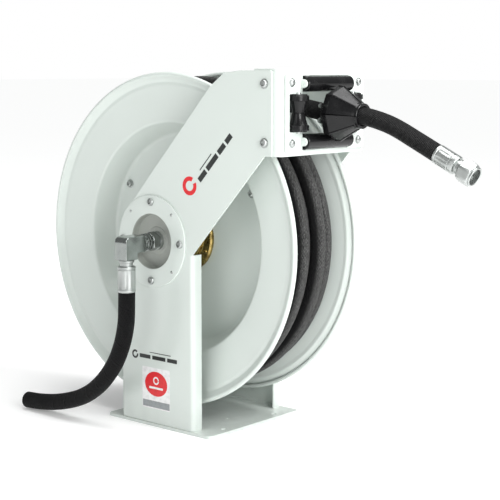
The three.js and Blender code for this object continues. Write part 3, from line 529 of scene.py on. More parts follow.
class Sheet:
    """A folded sheet, drawn as its outer faces and thickened at the end."""

    def __init__(self):
        self.bm = bmesh.new()

    def flat(self, *loops):
        """A flat face: its outline, then its holes."""
        edges = []
        for loop in loops:
            verts = [self.bm.verts.new(point) for point in loop]
            edges += [self.bm.edges.new(pair) for pair in zip(verts, verts[1:] + verts[:1])]
        bmesh.ops.triangle_fill(self.bm, use_beauty=True, edges=edges)

    def fold(self, path, reach):
        """A face that follows a path and reaches straight along a vector."""
        near = [self.bm.verts.new(point) for point in path]
        far = [self.bm.verts.new(Vector(point) + Vector(reach)) for point in path]
        for i in range(len(path) - 1):
            self.bm.faces.new((near[i], near[i + 1], far[i + 1], far[i]))

    def made(self, name, thickness, outward, edge=0.5):
        bmesh.ops.remove_doubles(self.bm, verts=self.bm.verts, dist=1e-3)
        bmesh.ops.recalc_face_normals(self.bm, faces=self.bm.faces)
        out = Vector(outward)
        widest = max(self.bm.faces, key=lambda face: face.calc_area() * abs(face.normal.dot(out)))
        if widest.normal.dot(out) < 0:
            bmesh.ops.reverse_faces(self.bm, faces=self.bm.faces)
        bmesh.ops.scale(self.bm, vec=(MM, MM, MM), verts=self.bm.verts)
        mesh = bpy.data.meshes.new(name)
        self.bm.to_mesh(mesh)
        self.bm.free()
        mesh.shade_smooth()
        wall = ("SOLIDIFY", {"thickness": thickness * MM, "offset": -1, "use_even_offset": True})
        return worked(linked(name, mesh), wall, edge_break(edge), EVEN_SHADING)


print("pieces can be turned and folded")

# %% Tubes, slabs and joined pieces
MOUTH_ROUND = 0.9
MOUTH_UV = 0.001


def tube(name, path, radius, sides=28, closed=False, mouth=None):
    """A round tube along points. mouth is (bore, depth) where the last end is cut open."""
    points = [Vector(point) for point in path]
    count = len(points)
    bm = bmesh.new()
    rings, lengths = [], [0.0]
    for i, point in enumerate(points):
        ahead = points[(i + 1) % count] if closed else points[min(i + 1, count - 1)]
        back = points[i - 1] if closed else points[max(i - 1, 0)]
        rings.append(circle_at(stance(point, ahead - back, Y), radius, sides))
        lengths.append(lengths[-1] + (points[(i + 1) % count] - point).length * MM)
    if mouth:
        bore, depth = mouth
        end = stance(points[-1], points[-1] - points[-2], Y)
        lip = ((radius - 1.2, MOUTH_ROUND), (bore + 0.8, MOUTH_ROUND))
        for ring_radius, height in (*lip, (bore, 0), (bore, -depth)):
            rings.append(circle_at(end, ring_radius, sides, height))
            lengths.append(lengths[-1] + MOUTH_UV)
    join_rings(bm, rings, loop=closed)
    layer = bm.loops.layers.uv.new("turn_and_length")
    bm.verts.ensure_lookup_table()
    bm.verts.index_update()
    for face in bm.faces:
        rows = [loop.vert.index // sides for loop in face.loops]
        turns = [loop.vert.index % sides for loop in face.loops]
        for loop, row, turn in zip(face.loops, rows, turns):
            wraps_round = turn == 0 and max(turns) == sides - 1
            row = len(rings) if closed and row == 0 and max(rows) == len(rings) - 1 else row
            loop[layer].uv = ((sides if wraps_round else turn) / sides, lengths[row])
    return close(name, bm)


def slab(name, outline, at, low, high, edge, segments):
    """A slab with a flat outline, between two heights."""
    bm = bmesh.new()
    join_rings(bm, [[at @ Vector((*point, height)) for point in outline] for height in (low, high)])
    return worked(close(name, bm), edge_break(edge, 50, segments), EVEN_SHADING)


def merged(name, pieces):
    """Joins pieces of one solid into one mesh."""
    bm = bmesh.new()
    for piece in pieces:
        bm.from_mesh(piece.data)
        bpy.data.objects.remove(piece)
    mesh = bpy.data.meshes.new(name)
    bm.to_mesh(mesh)
    bm.free()
    return linked(name, mesh)


print("tools ready")

# %% [markdown]
# The two free hoses are real lengths of one thick rubber hose. The outlet strand lies on the coil,
# climbs out of it, leaves it straight for the rollers and then bends down under the weight of its nut.
# The inlet hose hangs from the elbow and curves out along the floor. Each is a tube along one smooth
# curve, so its length is the length of its route.


# %% A smooth line through hose points
def smooth(points, steps=6):
    """A centripetal curve through points, as a flexible hose lies."""
    points = [Vector(p) for p in points]
    points = [2 * points[0] - points[1], *points, 2 * points[-1] - points[-2]]
    line = []
    for p0, p1, p2, p3 in zip(points, points[1:], points[2:], points[3:]):
        t1 = (p1 - p0).length ** 0.5
        t2 = t1 + (p2 - p1).length ** 0.5
        t3 = t2 + (p3 - p2).length ** 0.5
        for step in range(steps):
            t = t1 + (t2 - t1) * step / steps
            a1 = p0.lerp(p1, t / t1)
            a2 = p1.lerp(p2, (t - t1) / (t2 - t1))
            a3 = p2.lerp(p3, (t - t2) / (t3 - t2))
            b1 = a1.lerp(a2, t / t2)
            b2 = a2.lerp(a3, (t - t1) / (t3 - t1))
            line.append(b1.lerp(b2, (t - t1) / (t2 - t1)))
    return line + [points[-2]]


def ease(value, low, high):
    t = min(max((value - low) / (high - low), 0), 1)
    return t * t * (3 - 2 * t)


def on_reel(angle, radius, across):
    """A point on the reel: degrees round the axis, distance from it, and place along it."""
    turn = math.radians(angle)
    return Vector((radius * math.cos(turn), across, AXIS + radius * math.sin(turn)))


def length_of(line):
    return sum((b - a).length for a, b in zip(line, line[1:])) * MM


print("hose lines can be drawn and measured")

# %% The outlet strand
GUIDE_FACE = span("guide_box")[1].x
GUIDE_HEIGHT = middle("roller_plate").z
COIL_OUTER = span("hose_coil")[1].x
COIL_INNER = 194
SKIN = 0.1
STRAND_ACROSS = 6.5
STRAND_STANDS_OUT = 18
STRAND_RADIUS = COIL_OUTER - HOSE_RADIUS + STRAND_STANDS_OUT
STRAND_START = COIL_INNER + 3 * HOSE_RADIUS + 0.3
STRAND_WRAP = 62
WRAP_STEPS = 12

to_guide = Vector((GUIDE_FACE, GUIDE_HEIGHT - AXIS))
LEAVES = math.degrees(math.atan2(to_guide.y, to_guide.x) + math.acos(STRAND_RADIUS / to_guide.length))
wrapped = []
for step in range(WRAP_STEPS + 1):
    risen = ease(step / WRAP_STEPS, 0.1, 0.75)
    reach = STRAND_START + (STRAND_RADIUS - STRAND_START) * risen
    wrapped.append(on_reel(LEAVES + STRAND_WRAP * (1 - step / WRAP_STEPS), reach, STRAND_ACROSS))
guide_point = Vector((GUIDE_FACE, 0, GUIDE_HEIGHT))
crossing = [wrapped[-1].lerp(guide_point, t) for t in (0.25, 0.5, 0.75)]
AHEAD = [
    (26, -1.3), (52, -2.8), (79.5, -5.7), (102, -10.5), (124, -17.1), (145, -25.9), (164.7, -35.5),
    (185, -45.4), (205.3, -55.4),
]
ahead = [Vector((GUIDE_FACE + x, 0, GUIDE_HEIGHT + z)) for x, z in AHEAD]
outlet_points = [*wrapped, *crossing, guide_point, *ahead]
outlet_line = smooth(outlet_points)
outlet_hose = tube("outlet_hose_rubber", outlet_line, HOSE_RADIUS - SKIN, 32)
settle(outlet_hose, "stand", RUBBER, "outlet_hose")
print(f"outlet strand {length_of(outlet_line):.3f} m")

# %% The inlet hose
INLET_PLANE = middle("inlet_hose").y
INLET_BORE, INLET_DEPTH = 9.0, 14
inlet_points = [
    (0, 228.7), (-0.5, 206), (-1.5, 184), (-5.5, 163), (-12, 142.5), (-24, 117.5), (-40, 95), (-62, 72),
    (-87, 53.5), (-111, 41), (-136, 32), (-161, 25.2), (-187, 20), (-217, 16.2), (-247, 14.4),
]
inlet_line = smooth([(x, INLET_PLANE, z) for x, z in inlet_points])
inlet_mouth = (INLET_BORE, INLET_DEPTH)
inlet_hose = tube("inlet_hose_rubber", inlet_line, HOSE_RADIUS - SKIN, 32, mouth=inlet_mouth)
settle(inlet_hose, "stand", FRESH_RUBBER, "inlet_hose")
print(f"inlet hose {length_of(inlet_line):.3f} m")

# %% [markdown]
# The stand is a thick base plate with a folded arm at each side. Each arm is one sheet: a post with
# both edges folded in, a round pad about the axle, and a bare flat arm that slopes up to the guide.
# It is drawn as its outer faces, with the folds as strips of a quarter circle, and thickened inwards.

# %% Base plate
BASE_LOW, BASE_HIGH = span("base_plate")
BASE_CORNER = 10
ANCHOR_INSET, ANCHOR_ACROSS, ANCHOR_RADIUS = 14.5, 63, 4.5
ANCHOR_LINES = (BASE_LOW.x + ANCHOR_INSET, BASE_HIGH.x - ANCHOR_INSET)
DRAIN, DRAIN_RADIUS = (74, -10), 2.6


def hole(x, y, radius, sides=28):
    return [(px, py, BASE_HIGH.z) for px, py in arc(x, y, radius, 0, 360 - 360 / sides, sides - 1)]


base_outline = oblong(BASE_LOW.x, BASE_HIGH.x, BASE_LOW.y, BASE_HIGH.y)
holes = [hole(x, y, ANCHOR_RADIUS) for x in ANCHOR_LINES for y in (-ANCHOR_ACROSS, ANCHOR_ACROSS)]
base = Sheet()
base.flat([(x, y, BASE_HIGH.z) for x, y in soften(base_outline, BASE_CORNER, 6)],
          *holes, hole(*DRAIN, DRAIN_RADIUS, 16))
settle(base.made("base_plate_painted", BASE_HIGH.z, Z, 0.8), "stand", PALE, "base_plate")

# %% The two arms
POST_FRONT, POST_BACK, BEND, SHEET = 89, 75, 7, 3
FLANGE_EDGE = ARM_OUTER - 20.5
PAD = 75
SLOPE = math.radians(47.5)
UP_ARM = Vector((math.cos(SLOPE), math.sin(SLOPE)))
ACROSS_ARM = Vector((-UP_ARM.y, UP_ARM.x))
ARM_TIP = span("near_arm")[1].x
ARM_TOP = span("near_arm")[1].z
TIP_BOTTOM = span("guide_box")[0].z
CUP_HOLE = 47.5


def arm_point(offset, along):
    """A place on the arm: across it and along it from the axle, as x and z."""
    place = ACROSS_ARM * offset + UP_ARM * along
    return (place.x, AXIS + place.y)


def along_to_height(offset, height):
    return (height - AXIS - offset * ACROSS_ARM.y) / UP_ARM.y


def along_to_x(offset, x):
    return (x - offset * ACROSS_ARM.x) / UP_ARM.x


def arm_outline(post_bottom, post_top):
    corner = arm_point(PAD, along_to_height(PAD, ARM_TOP - 6))
    upper = [(ARM_TIP, ARM_TOP), (corner[0] + 45, ARM_TOP), (corner[0] + 12, ARM_TOP - 3.5),
             arm_point(PAD, along_to_height(PAD, ARM_TOP - 24))]
    lower = [arm_point(-PAD, along_to_height(-PAD, TIP_BOTTOM)), (ARM_TIP, TIP_BOTTOM)]
    tip = soften([*lower, *upper], 4, 3, closed=False)
    pad = arc(0, AXIS, PAD, math.degrees(SLOPE) + 90, 180, 24)
    back, front = BEND - POST_BACK, POST_FRONT - BEND
    return [(back, post_bottom), (front, post_bottom), (front, post_top), (POST_FRONT, post_top + 0.4),
            arm_point(-PAD, along_to_x(-PAD, POST_FRONT)), *tip, *pad, (-PAD, post_top), (back, post_top)]


def folded_arm(name, side):
    bottom = span("near_arm")[0].z
    top = arm_point(-PAD, along_to_x(-PAD, POST_FRONT))[1] - 2
    arm = Sheet()
    around = [(x, side * ARM_OUTER, z) for x, z in arm_outline(bottom, top)]
    cup = [(x, side * ARM_OUTER, z) for x, z in arc(0, AXIS, CUP_HOLE, 0, 355, 71)]
    arm.flat(around, cup)
    bend_at = ARM_OUTER - BEND
    for centre in (POST_FRONT - BEND, BEND - POST_BACK):
        front = centre > 0
        bend = arc(centre, bend_at, BEND, 90, 0 if front else 180, 8)
        path = [*bend, (POST_FRONT if front else -POST_BACK, FLANGE_EDGE)]
        arm.fold([(x, side * y, bottom) for x, y in path], (0, 0, top - bottom))
    return arm.made(f"{name}_arm_folded", SHEET, (0, side, 0), 0.6)


for name, side in SIDES:
    settle(folded_arm(name, side), "stand", PALE, f"{name}_arm")

# %% [markdown]
# The posts are welded to the base along their inner faces. A weld bead is a run of overlapping pools,
# so it is a thin tube whose thickness pulses, pressed into the corner and painted over.

# %% Weld beads
POOL_SIDES = 12


def weld(start, end, size=2.6, pitch=3.2):
    start, end = Vector(start), Vector(end)
    steps = int((end - start).length / pitch * 3)
    along = (end - start).normalized()
    bm = bmesh.new()
    rings = []
    for step in range(steps + 1):
        pulse = size * (0.86 + 0.14 * math.cos(math.tau * step / 3)) * (0.3 if step in (0, steps) else 1)
        rings.append(circle_at(stance(start.lerp(end, step / steps), along, Z), pulse, POOL_SIDES))
    join_rings(bm, rings)
    return close("bead", bm, 60)


for name, side in SIDES:
    inner, foot = side * (ARM_OUTER - SHEET), BASE_HIGH.z + 0.4
    beads = [weld((BEND - POST_BACK + 4, inner, foot), (POST_FRONT - BEND - 4, inner, foot))]
    edge, bend, foot = side * (FLANGE_EDGE + 1), side * (ARM_OUTER - BEND - 1), BASE_HIGH.z + 0.2
    for x in (POST_FRONT, -POST_BACK):
        beads.append(weld((x, edge, foot), (x, bend, foot), 1.8))
    settle(merged(f"{name}_post_welds", beads), "stand", PALE)

# %% [markdown]
# The hub flanges are pressed from one disc: a flat ring screwed to the arm, and a deep cup that
# carries the axle. The ring is painted with the arm and the cup is left grey, so they are
# turned pieces that meet inside the mouth. Four button-head bolts and four small rivets hold them.

# %% Hub flanges
RING_LOW, RING_HIGH = span("near_hub_flange")
RING_RADIUS = (RING_HIGH.x - RING_LOW.x) / 2
RING_OUT = -RING_LOW.y
RING_SHEET = 2.6
CUP_RADIUS = 44
CUP_FLOOR = ARM_OUTER - 12
CUP_BOSS = 1.2
AXLE_RADIUS = 15


def hub_ring(name, side):
    under, mouth = RING_OUT - RING_SHEET, CUP_RADIUS + 1.0
    corners = [(RING_RADIUS, under), (RING_RADIUS, RING_OUT), (mouth, RING_OUT), (mouth, under)]
    outline = soften(corners, [0, 1.2, 0.6, 0], 3)
    return turned(f"{name}_hub_ring", outline, stance((0, 0, AXIS), (0, side, 0)), 120)


def hub_cup(name, side):
    boss = CUP_FLOOR + CUP_BOSS
    face = [(CUP_RADIUS + 0.9, RING_OUT - 0.5), (CUP_RADIUS, RING_OUT - 1.4), (CUP_RADIUS, CUP_FLOOR),
            (AXLE_RADIUS + 8, CUP_FLOOR), (AXLE_RADIUS + 6.8, boss), (AXLE_RADIUS + 0.3, boss)]
    path = soften(face, [0, 1, 2, 0.5, 0.5, 0], 4, closed=False)
    return turned(f"{name}_hub_cup", thicken(path, -RING_SHEET), stance((0, 0, AXIS), (0, side, 0)), 96)


for name, side in SIDES:
    settle(hub_ring(name, side), "stand", PALE, f"{name}_hub_flange")
    settle(hub_cup(name, side), "stand", CUP)

# %% [markdown]
# The bolts are button heads with a hexagon socket. The head is a turned dome, and its socket is a
# ring of six flats that goes down into it. The arm bolts have a washer under the head, and the
# rivets of the hub flanges are plain domes.

# %% Bolts and rivets
SOCKET_SIDES = 48
BOLT_RADIUS, BOLT_HEIGHT = 6.2, 3.8
ARM_BOLT_RADIUS = 6.4
WASHER_RADIUS, WASHER_SHEET = 7.6, 1.0


def button_head(name, at, radius, height):
    socket = flats(6, radius * 1.05)
    outline = [
        (0, -0.2), (radius, -0.2), (radius, height * 0.35), (radius * 0.93, height * 0.68),
        (radius * 0.78, height * 0.92), (radius * 0.66, height), (within(socket, radius * 0.62), height),
        (socket, height - 0.5), (socket, height * 0.35), (0, height * 0.25),
    ]
    return turned(name, outline, at, SOCKET_SIDES)


def washer(name, at, radius):
    return turned(name, soften(oblong(2, radius, 0, WASHER_SHEET), 0.3, 2), at, 40)


def out_of_arm(x, z, side, out):
    return stance((x, side * out, z), (0, side, 0))


for number in range(1, 5):
    centre = middle(f"near_hub_bolt_{number}")
    for name, side in SIDES:
        at = out_of_arm(centre.x, centre.z, side, RING_OUT + 0.2)
        head = button_head(f"{name}_hub_bolt_head_{number}", at, BOLT_RADIUS, BOLT_HEIGHT)
        settle(head, "stand", ZINC, *([f"near_hub_bolt_{number}"] if side < 0 else []))
for name, side in SIDES:
    for number in (1, 2):
        centre = middle(f"{name}_arm_bolt_{number}")
        under = out_of_arm(centre.x, centre.z, side, ARM_OUTER + 0.05)
        on_washer = out_of_arm(centre.x, centre.z, side, ARM_OUTER + 1.1)
        parts = [washer("washer", under, WASHER_RADIUS),
                 button_head("head", on_washer, ARM_BOLT_RADIUS, BOLT_HEIGHT)]
        settle(merged(f"{name}_arm_bolt_{number}_head", parts), "stand", ZINC, f"{name}_arm_bolt_{number}")

# %% Rivets
RIVET_CIRCLE = 65
RIVET_RADIUS, RIVET_HEIGHT = 2.6, 1.3


def rivet(at):
    curve = [math.pi / 2 * s / 5 for s in range(6)]
    dome = [(RIVET_RADIUS * math.cos(a), RIVET_HEIGHT * math.sin(a)) for a in curve]
    return turned("rivet", [(0, -0.3), (RIVET_RADIUS, -0.3), *dome], at, 24)


for name, side in SIDES:
    places = [on_reel(angle, RIVET_CIRCLE, 0) for angle in (45, 135, 225, 315)]
    rivets = [rivet(out_of_arm(p.x, p.z, side, RING_OUT)) for p in places]
    settle(merged(f"{name}_hub_rivets", rivets), "stand", ZINC)

# %% [markdown]
# Water comes in through the near cup: a hexagon adapter on the axle's end, a swivel nut with two
# grooves, a forged elbow, and a ferrule crimped on the hose. The nuts are turned pieces whose radius
# follows six flats, cut back by a chamfer.


# %% Axle, adapter and swivel
def hexagon_nut(name, across, low, high, at, bore=0.0, chamfer=1.4, sides=72):
    hexagon = flats(6, across)
    corner = across / 2 / math.cos(math.pi / 6)
    start = across / 2 * 0.985
    slope = [(within(hexagon, start + (corner - start) * t), chamfer * t) for t in (0, 0.35, 0.7, 1)]
    foot = [(radius, low + rise) for radius, rise in slope]
    top = [(radius, high - rise) for radius, rise in reversed(slope)]
    return turned(name, [(bore, low), *foot, *top, (bore, high)], at, sides)


def pin_outline(radius, low, high, chamfer, steps=3):
    return soften(oblong(0, radius, low, high), [0, chamfer, chamfer, 0], steps)


def depths(node):
    """The lowest and the highest place of a part, measured outwards on the inlet side."""
    low, high = span(node)
    return -high.y, -low.y


INLET_SIDE = stance((0, 0, AXIS), -Y, X)
AXLE_END = span("axle")[1].y
axle_outline = pin_outline(AXLE_RADIUS, -AXLE_END, AXLE_END, 1.5, 2)
settle(turned("axle_turned", axle_outline, INLET_SIDE, 64), "stand", ZINC, "axle")
adapter = hexagon_nut("inlet_adapter_hexagon", 27, *depths("inlet_adapter"), INLET_SIDE, 7)
settle(adapter, "stand", NICKEL, "inlet_adapter")
NUT_LOW, NUT_HIGH = depths("inlet_swivel_nut")
SWIVEL_STEPS = [(7, 0), (12, 0), (14, 3), (14, 6.5), (11.6, 7.2), (11.6, 8.6), (14, 9.3), (14, 11.6),
                (11.6, 12.3), (11.6, 13.6), (13.4, 14.3)]
swivel = [(radius, NUT_LOW + height) for radius, height in SWIVEL_STEPS] + [(13.4, NUT_HIGH), (7, NUT_HIGH)]
settle(turned("inlet_swivel_nut_turned", soften(swivel, 0.5, 2), INLET_SIDE, 72), "stand", NICKEL,
       "inlet_swivel_nut")
cap_low, cap_high = span("far_axle_cap")
cap = hexagon_nut("far_axle_cap_hexagon", 30, cap_low.y, cap_high.y, stance((0, 0, AXIS), Y, X))
settle(cap, "stand", ZINC, "far_axle_cap")

# %% Elbow and crimped ferrule
ELBOW_LOW, ELBOW_HIGH = span("inlet_elbow")
ELBOW_HALF = (ELBOW_HIGH.x - ELBOW_LOW.x) / 2
leg = ELBOW_LOW.y + 2 * ELBOW_HALF
elbow_corners = [
    (ELBOW_HIGH.y, AXIS - ELBOW_HALF), (ELBOW_HIGH.y, AXIS + ELBOW_HALF), (ELBOW_LOW.y, AXIS + ELBOW_HALF),
    (ELBOW_LOW.y, ELBOW_LOW.z), (leg, ELBOW_LOW.z), (leg, AXIS - ELBOW_HALF),
]
elbow_outline = soften(elbow_corners, [2, 2, 10, 1.5, 1.5, 4], 6)
elbow = slab("inlet_elbow_forged", elbow_outline, stance((0, 0, 0), X, Y), -ELBOW_HALF, ELBOW_HALF, 2.6, 4)
settle(elbow, "stand", NICKEL, "inlet_elbow")


def pressed(body, depth):
    """The radius of a sleeve where the eight jaws of the crimping tool have pressed it in."""
    return lambda angle: body - depth * (0.5 + 0.5 * math.cos(8 * angle)) ** 3


def crimped(name, at, length, body, neck, neck_length, collar):
    """A ferrule: a crimped sleeve with plain bands at its ends, then a neck and a collar."""
    top = length + neck_length
    groove = body - 0.7
    outline = [
        (5, 0), (body - 1.3, 0), (body - 0.3, 0.9), (body, 1.8), (body, 4.2), (groove, 4.8), (groove, 5.6),
        (body, 6.2), (pressed(body, 0.5), 7.4), (pressed(body, 0.9), length * 0.35),
        (pressed(body, 0.9), length * 0.62), (pressed(body, 0.4), length - 7), (body, length - 6),
        (groove, length - 5.4), (groove, length - 4.6), (body, length - 4), (body, length - 1.2),
        (body - 1.2, length), (neck, length + 0.3), (neck, top),
        (collar - 0.6, top), (collar, top + 0.6), (collar, top + 3.0), (collar - 0.6, top + 3.6),
        (5, top + 3.6),
    ]
    return turned(name, outline, at, 96)


FERRULE_LOW, FERRULE_HIGH = span("inlet_ferrule")
inlet_foot = stance((0, INLET_PLANE, FERRULE_LOW.z), Z, X)
neck_length = FERRULE_HIGH.z - FERRULE_LOW.z - 45.8
sleeve = crimped("inlet_ferrule_crimped", inlet_foot, 42, 14.5, 10, neck_length, 12.5)
settle(sleeve, "stand", ZINC, "inlet_ferrule")

# %% [markdown]
# The reel itself is two spun steel discs, back to back. Each has a flat floor bolted to the hub, a
# deep step that the drum's shell sits behind, a broad sloping flange that holds the hose in, and a
# shallow groove inside a rolled rim. The outer face is drawn as a path with softened corners, the
# rim as most of a circle, and the whole is given its sheet thickness before it is spun.

# %% Discs and drum shell
BEAD = 4
DISC_SHEET = 1.6
FLOOR_OUT = 24
HUB_HOLE, FLOOR_EDGE = 29, 173
STEP_EDGE, STEP_OUT = 191, 64
SHELL_INNER, SHELL_OUTER = 192, 193.7


def disc(name, side):
    face = [(HUB_HOLE, FLOOR_OUT), (FLOOR_EDGE, FLOOR_OUT), (STEP_EDGE, STEP_OUT), (251, 71.4), (256.5, 71.2),
            (262, 74.8)]
    softened = soften(face, [0, 9, 7, 3, 4, 3], 6, closed=False)
    rim = arc(DISC_RADIUS - BEAD, RIM_OUT - BEAD, BEAD, 150, -120, 20)
    return turned(name, thicken(softened + rim, DISC_SHEET), stance((0, 0, AXIS), (0, side, 0)), 192)


for name, side in SIDES:
    settle(disc(f"{name}_disc_spun", side), "drum", PALE, f"{name}_disc")
SHELL_HALF = span("drum_shell")[1].y
shell = oblong(SHELL_INNER, SHELL_OUTER, -SHELL_HALF, SHELL_HALF)
settle(turned("drum_shell_rolled", shell, stance((0, 0, AXIS), Y), 128), "drum", PALE, "drum_shell")

# %% Gland and tie bolts
GLAND_STEPS = [(15.6, 24.3), (57, 24.3), (57, 29.3), (54.5, 31.6), (44, 32.6), (42, 33.4), (41, 40),
               (37, 41.6), (31, 42.4), (30, 43.4), (29, 49.4), (27.5, 50.3), (15.6, 50.3)]
gland = turned("hub_gland_turned", soften(GLAND_STEPS, 0.9, 3), stance((0, 0, AXIS), -Y), 120)
settle(gland, "drum", BRASS, "hub_gland")
GLAND_SCREW_CIRCLE, GLAND_FACE = 49.5, 31.9
gland_screws = []
for angle in range(-25, 335, 60):
    place = on_reel(angle, GLAND_SCREW_CIRCLE, -GLAND_FACE)
    gland_screws.append(button_head("screw", stance(place, -Y), 3.4, 2.4))
settle(merged("hub_gland_screws", gland_screws), "drum", BRASS)
TIE_WASHER, TIE_HEAD, TIE_SHANK = 7.4, 5.6, 4
for number in (1, 2, 3):
    centre = middle(f"tie_bolt_{number}")
    ends = []
    for side in (-1, 1):
        face = stance((centre.x, side * (FLOOR_OUT + 0.2), centre.z), (0, side, 0), X)
        on_washer = face @ Matrix.Translation((0, 0, 1.05))
        ends += [washer("washer", face, TIE_WASHER), button_head("head", on_washer, TIE_HEAD, 4.0)]
    shank_outline = oblong(0, TIE_SHANK, -FLOOR_OUT, FLOOR_OUT)
    shank = turned("shank", shank_outline, stance((centre.x, 0, centre.z), Y), 24)
    settle(merged(f"tie_bolt_{number}_pair", [*ends, shank]), "drum", ZINC, f"tie_bolt_{number}")

# %% [markdown]
# About seven turns of hose are wound on the drum in two layers. Only the outer layer shows, between
# the discs, with a dark gap where the last turn lies a little deeper before it climbs out as the
# outlet strand. So the outer turns are closed rings that give way where the strand leaves, the last
# turn is an open tube that starts where the strand starts, and a plain sleeve stands for the layer
# under them. They are one mesh, because they are one hose.


# %% Wound hose
def strand_near(angle):
    """1 where the outlet strand lies on the coil, 0 away from it."""
    angle = angle % 360
    return ease(angle, 48, 74) * (1 - ease(angle, 150, 205))


def wound_turn(base_radius, base_across, radius, across, steps=160):
    line = []
    for step in range(steps):
        angle = 360 * step / steps
        lean = strand_near(angle)
        reach = base_radius + (radius - base_radius) * lean
        line.append(on_reel(angle, reach, base_across + (across - base_across) * lean))
    return tube("turn", line, HOSE_RADIUS - 0.15, 24, closed=True)


# Each turn's distance from the axis and place along it: first where it lies free, then by the strand.
TURNS = [(228, -47.5, 228, -48.5), (236, -21, 236, -21.6), (236.4, 19.6, 238, 34.3), (228, 45.8, 212.5, 46.2)]
turns = [wound_turn(*turn) for turn in TURNS]
LAST_STEPS, LAST_SWEEP, LAST_SINKS, LAST_SHIFTS = 120, 296, 14.2, 7.2
start_angle = LEAVES + STRAND_WRAP
last_line = []
for step in range(LAST_STEPS + 1):
    angle = start_angle + 0.1 + LAST_SWEEP * step / LAST_STEPS
    sunk = ease(step, 0, 50)
    last_line.append(on_reel(angle, STRAND_START - LAST_SINKS * sunk, STRAND_ACROSS - LAST_SHIFTS * sunk))
turns.append(tube("turn", last_line, HOSE_RADIUS - SKIN, 24))
UNDER_LAYER = [(COIL_INNER, -58), (204, -58), (206, -45), (204, -32), (206, -18), (204, -5), (206, 9),
               (204, 22), (197, 30), (COIL_INNER, 58)]
under_layer = turned("sleeve", UNDER_LAYER, stance((0, 0, AXIS), Y), 120)
under_layer.data.uv_layers.new(name="turn_and_length")
settle(merged("wound_hose", [*turns, under_layer]), "drum", SCUFFED_RUBBER_PAINTED_HIGHLIGHT, "hose_coil")
print(f"last turn {length_of(last_line):.2f} m")

# %% [markdown]
# The roller guide is a channel folded from sheet, set between the arm tips. A plate screwed to its
# face carries the rollers in white lugs with round ends. Both are cut by a cross-shaped window: tall
# for the lying rollers, wide for the two standing ones.

# %% Guide box and roller plate
GUIDE_LOW, GUIDE_HIGH = span("guide_box")
PLATE_LOW, PLATE_HIGH = span("roller_plate")
LYING_HALF = 57
BOBBIN_WINDOW = 88
BOBBIN_HALF = 28.6
WINDOW_HALF = 56
WINDOW_CORNER = 1.5
GUIDE_BEND = 12
GUIDE_SHEET = 3


def cross(tall_y, tall_z, wide_y, wide_z):
    left = [(-tall_y, tall_z), (-tall_y, wide_z), (-wide_y, wide_z), (-wide_y, -wide_z), (-tall_y, -wide_z),
            (-tall_y, -tall_z)]
    right = [(tall_y, -tall_z), (tall_y, -wide_z), (wide_y, -wide_z), (wide_y, wide_z), (tall_y, wide_z)]
    return soften([(tall_y, tall_z), *left, *right], WINDOW_CORNER, 3)


def on_face(points, x):
    return [(x, y, GUIDE_HEIGHT + z) for y, z in points]


half_width = GUIDE_HIGH.y
flat_half = half_width - GUIDE_BEND
face_outline = oblong(-flat_half, flat_half, GUIDE_LOW.z - GUIDE_HEIGHT, GUIDE_HIGH.z - GUIDE_HEIGHT)
box = Sheet()
box.flat(on_face(face_outline, GUIDE_HIGH.x), on_face(cross(62, 56.6, 88.6, 33.6), GUIDE_HIGH.x))
for side in (-1, 1):
    bend = arc(GUIDE_HIGH.x - GUIDE_BEND, flat_half, GUIDE_BEND, 0, 90, 10)
    path = [*bend, (GUIDE_LOW.x, half_width)]
    box.fold([(x, side * y, GUIDE_LOW.z) for x, y in path], (0, 0, GUIDE_HIGH.z - GUIDE_LOW.z))
settle(box.made("guide_box_folded", GUIDE_SHEET, X, 0.6), "stand", PALE, "guide_box")

# %% Roller plate
PLATE_FACE = GUIDE_HIGH.x + 3.3
half_height = (PLATE_HIGH.z - PLATE_LOW.z) / 2
plate_outline = soften(oblong(-PLATE_HIGH.y, PLATE_HIGH.y, -half_height, half_height), 3, 3)
window = cross(LYING_HALF, WINDOW_HALF, BOBBIN_WINDOW, BOBBIN_HALF)
plate = Sheet()
plate.flat(on_face(plate_outline, PLATE_FACE), on_face(window, PLATE_FACE))
plate_piece = plate.made("plate", GUIDE_SHEET, X, 0.5)

ROLLER_X = middle("top_roller").x
TOP_Z, BOTTOM_Z = middle("top_roller").z, middle("bottom_roller").z
LUG_TO = PLATE_HIGH.x - 0.4
LUG_SHEET, LUG_HALF, LUG_INNER = 3.5, 6.5, 57.2


def lug(z, side):
    """A round-ended finger that holds one end of a lying roller's pin."""
    reach = LUG_TO - LUG_HALF
    tip = [(reach + px, z + pz) for px, pz in arc(0, 0, LUG_HALF, -90, 90, 14)]
    outline = [(PLATE_FACE - 0.5, z - LUG_HALF), *tip, (PLATE_FACE - 0.5, z + LUG_HALF)]
    faces = (side * LUG_INNER, side * (LUG_INNER + LUG_SHEET))
    return slab("lug", outline, stance((0, 0, 0), -Y, X), -max(faces), -min(faces), 0.6, 3)


lugs = [lug(z, side) for z in (TOP_Z, BOTTOM_Z) for side in (-1, 1)]
settle(merged("roller_plate_with_lugs", [plate_piece, *lugs]), "stand", PALE, "roller_plate")

# %% Rollers
LYING_RADIUS = 12
WAIST = [
    (4.4, 28), (12.5, 28), (13.2, 27.4), (13.2, 26.2), (15.3, 26.2), (16, 25.5), (16, 18.8), (15.4, 18.2),
    (14.2, 17.8), (13.4, 15.4), (11.6, 9.5), (10.6, 4.5), (10.1, 1.0), (9.5, 0.5),
]


def lying_roller(name, z):
    half = span(name)[1].y
    end = [(LYING_RADIUS, half - 0.9), (11.2, half), (9.6, half), (9.2, half - 1.5), (6.2, half - 1.5)]
    return turned(f"{name}_turned", mirrored(end) + end, stance((ROLLER_X, 0, z), Y), 72)


def lying_pin(name, z):
    half = span(name)[1].y
    return turned(f"{name}_turned", pin_outline(6, -half, half, 1.2), stance((ROLLER_X, 0, z), Y), 40)


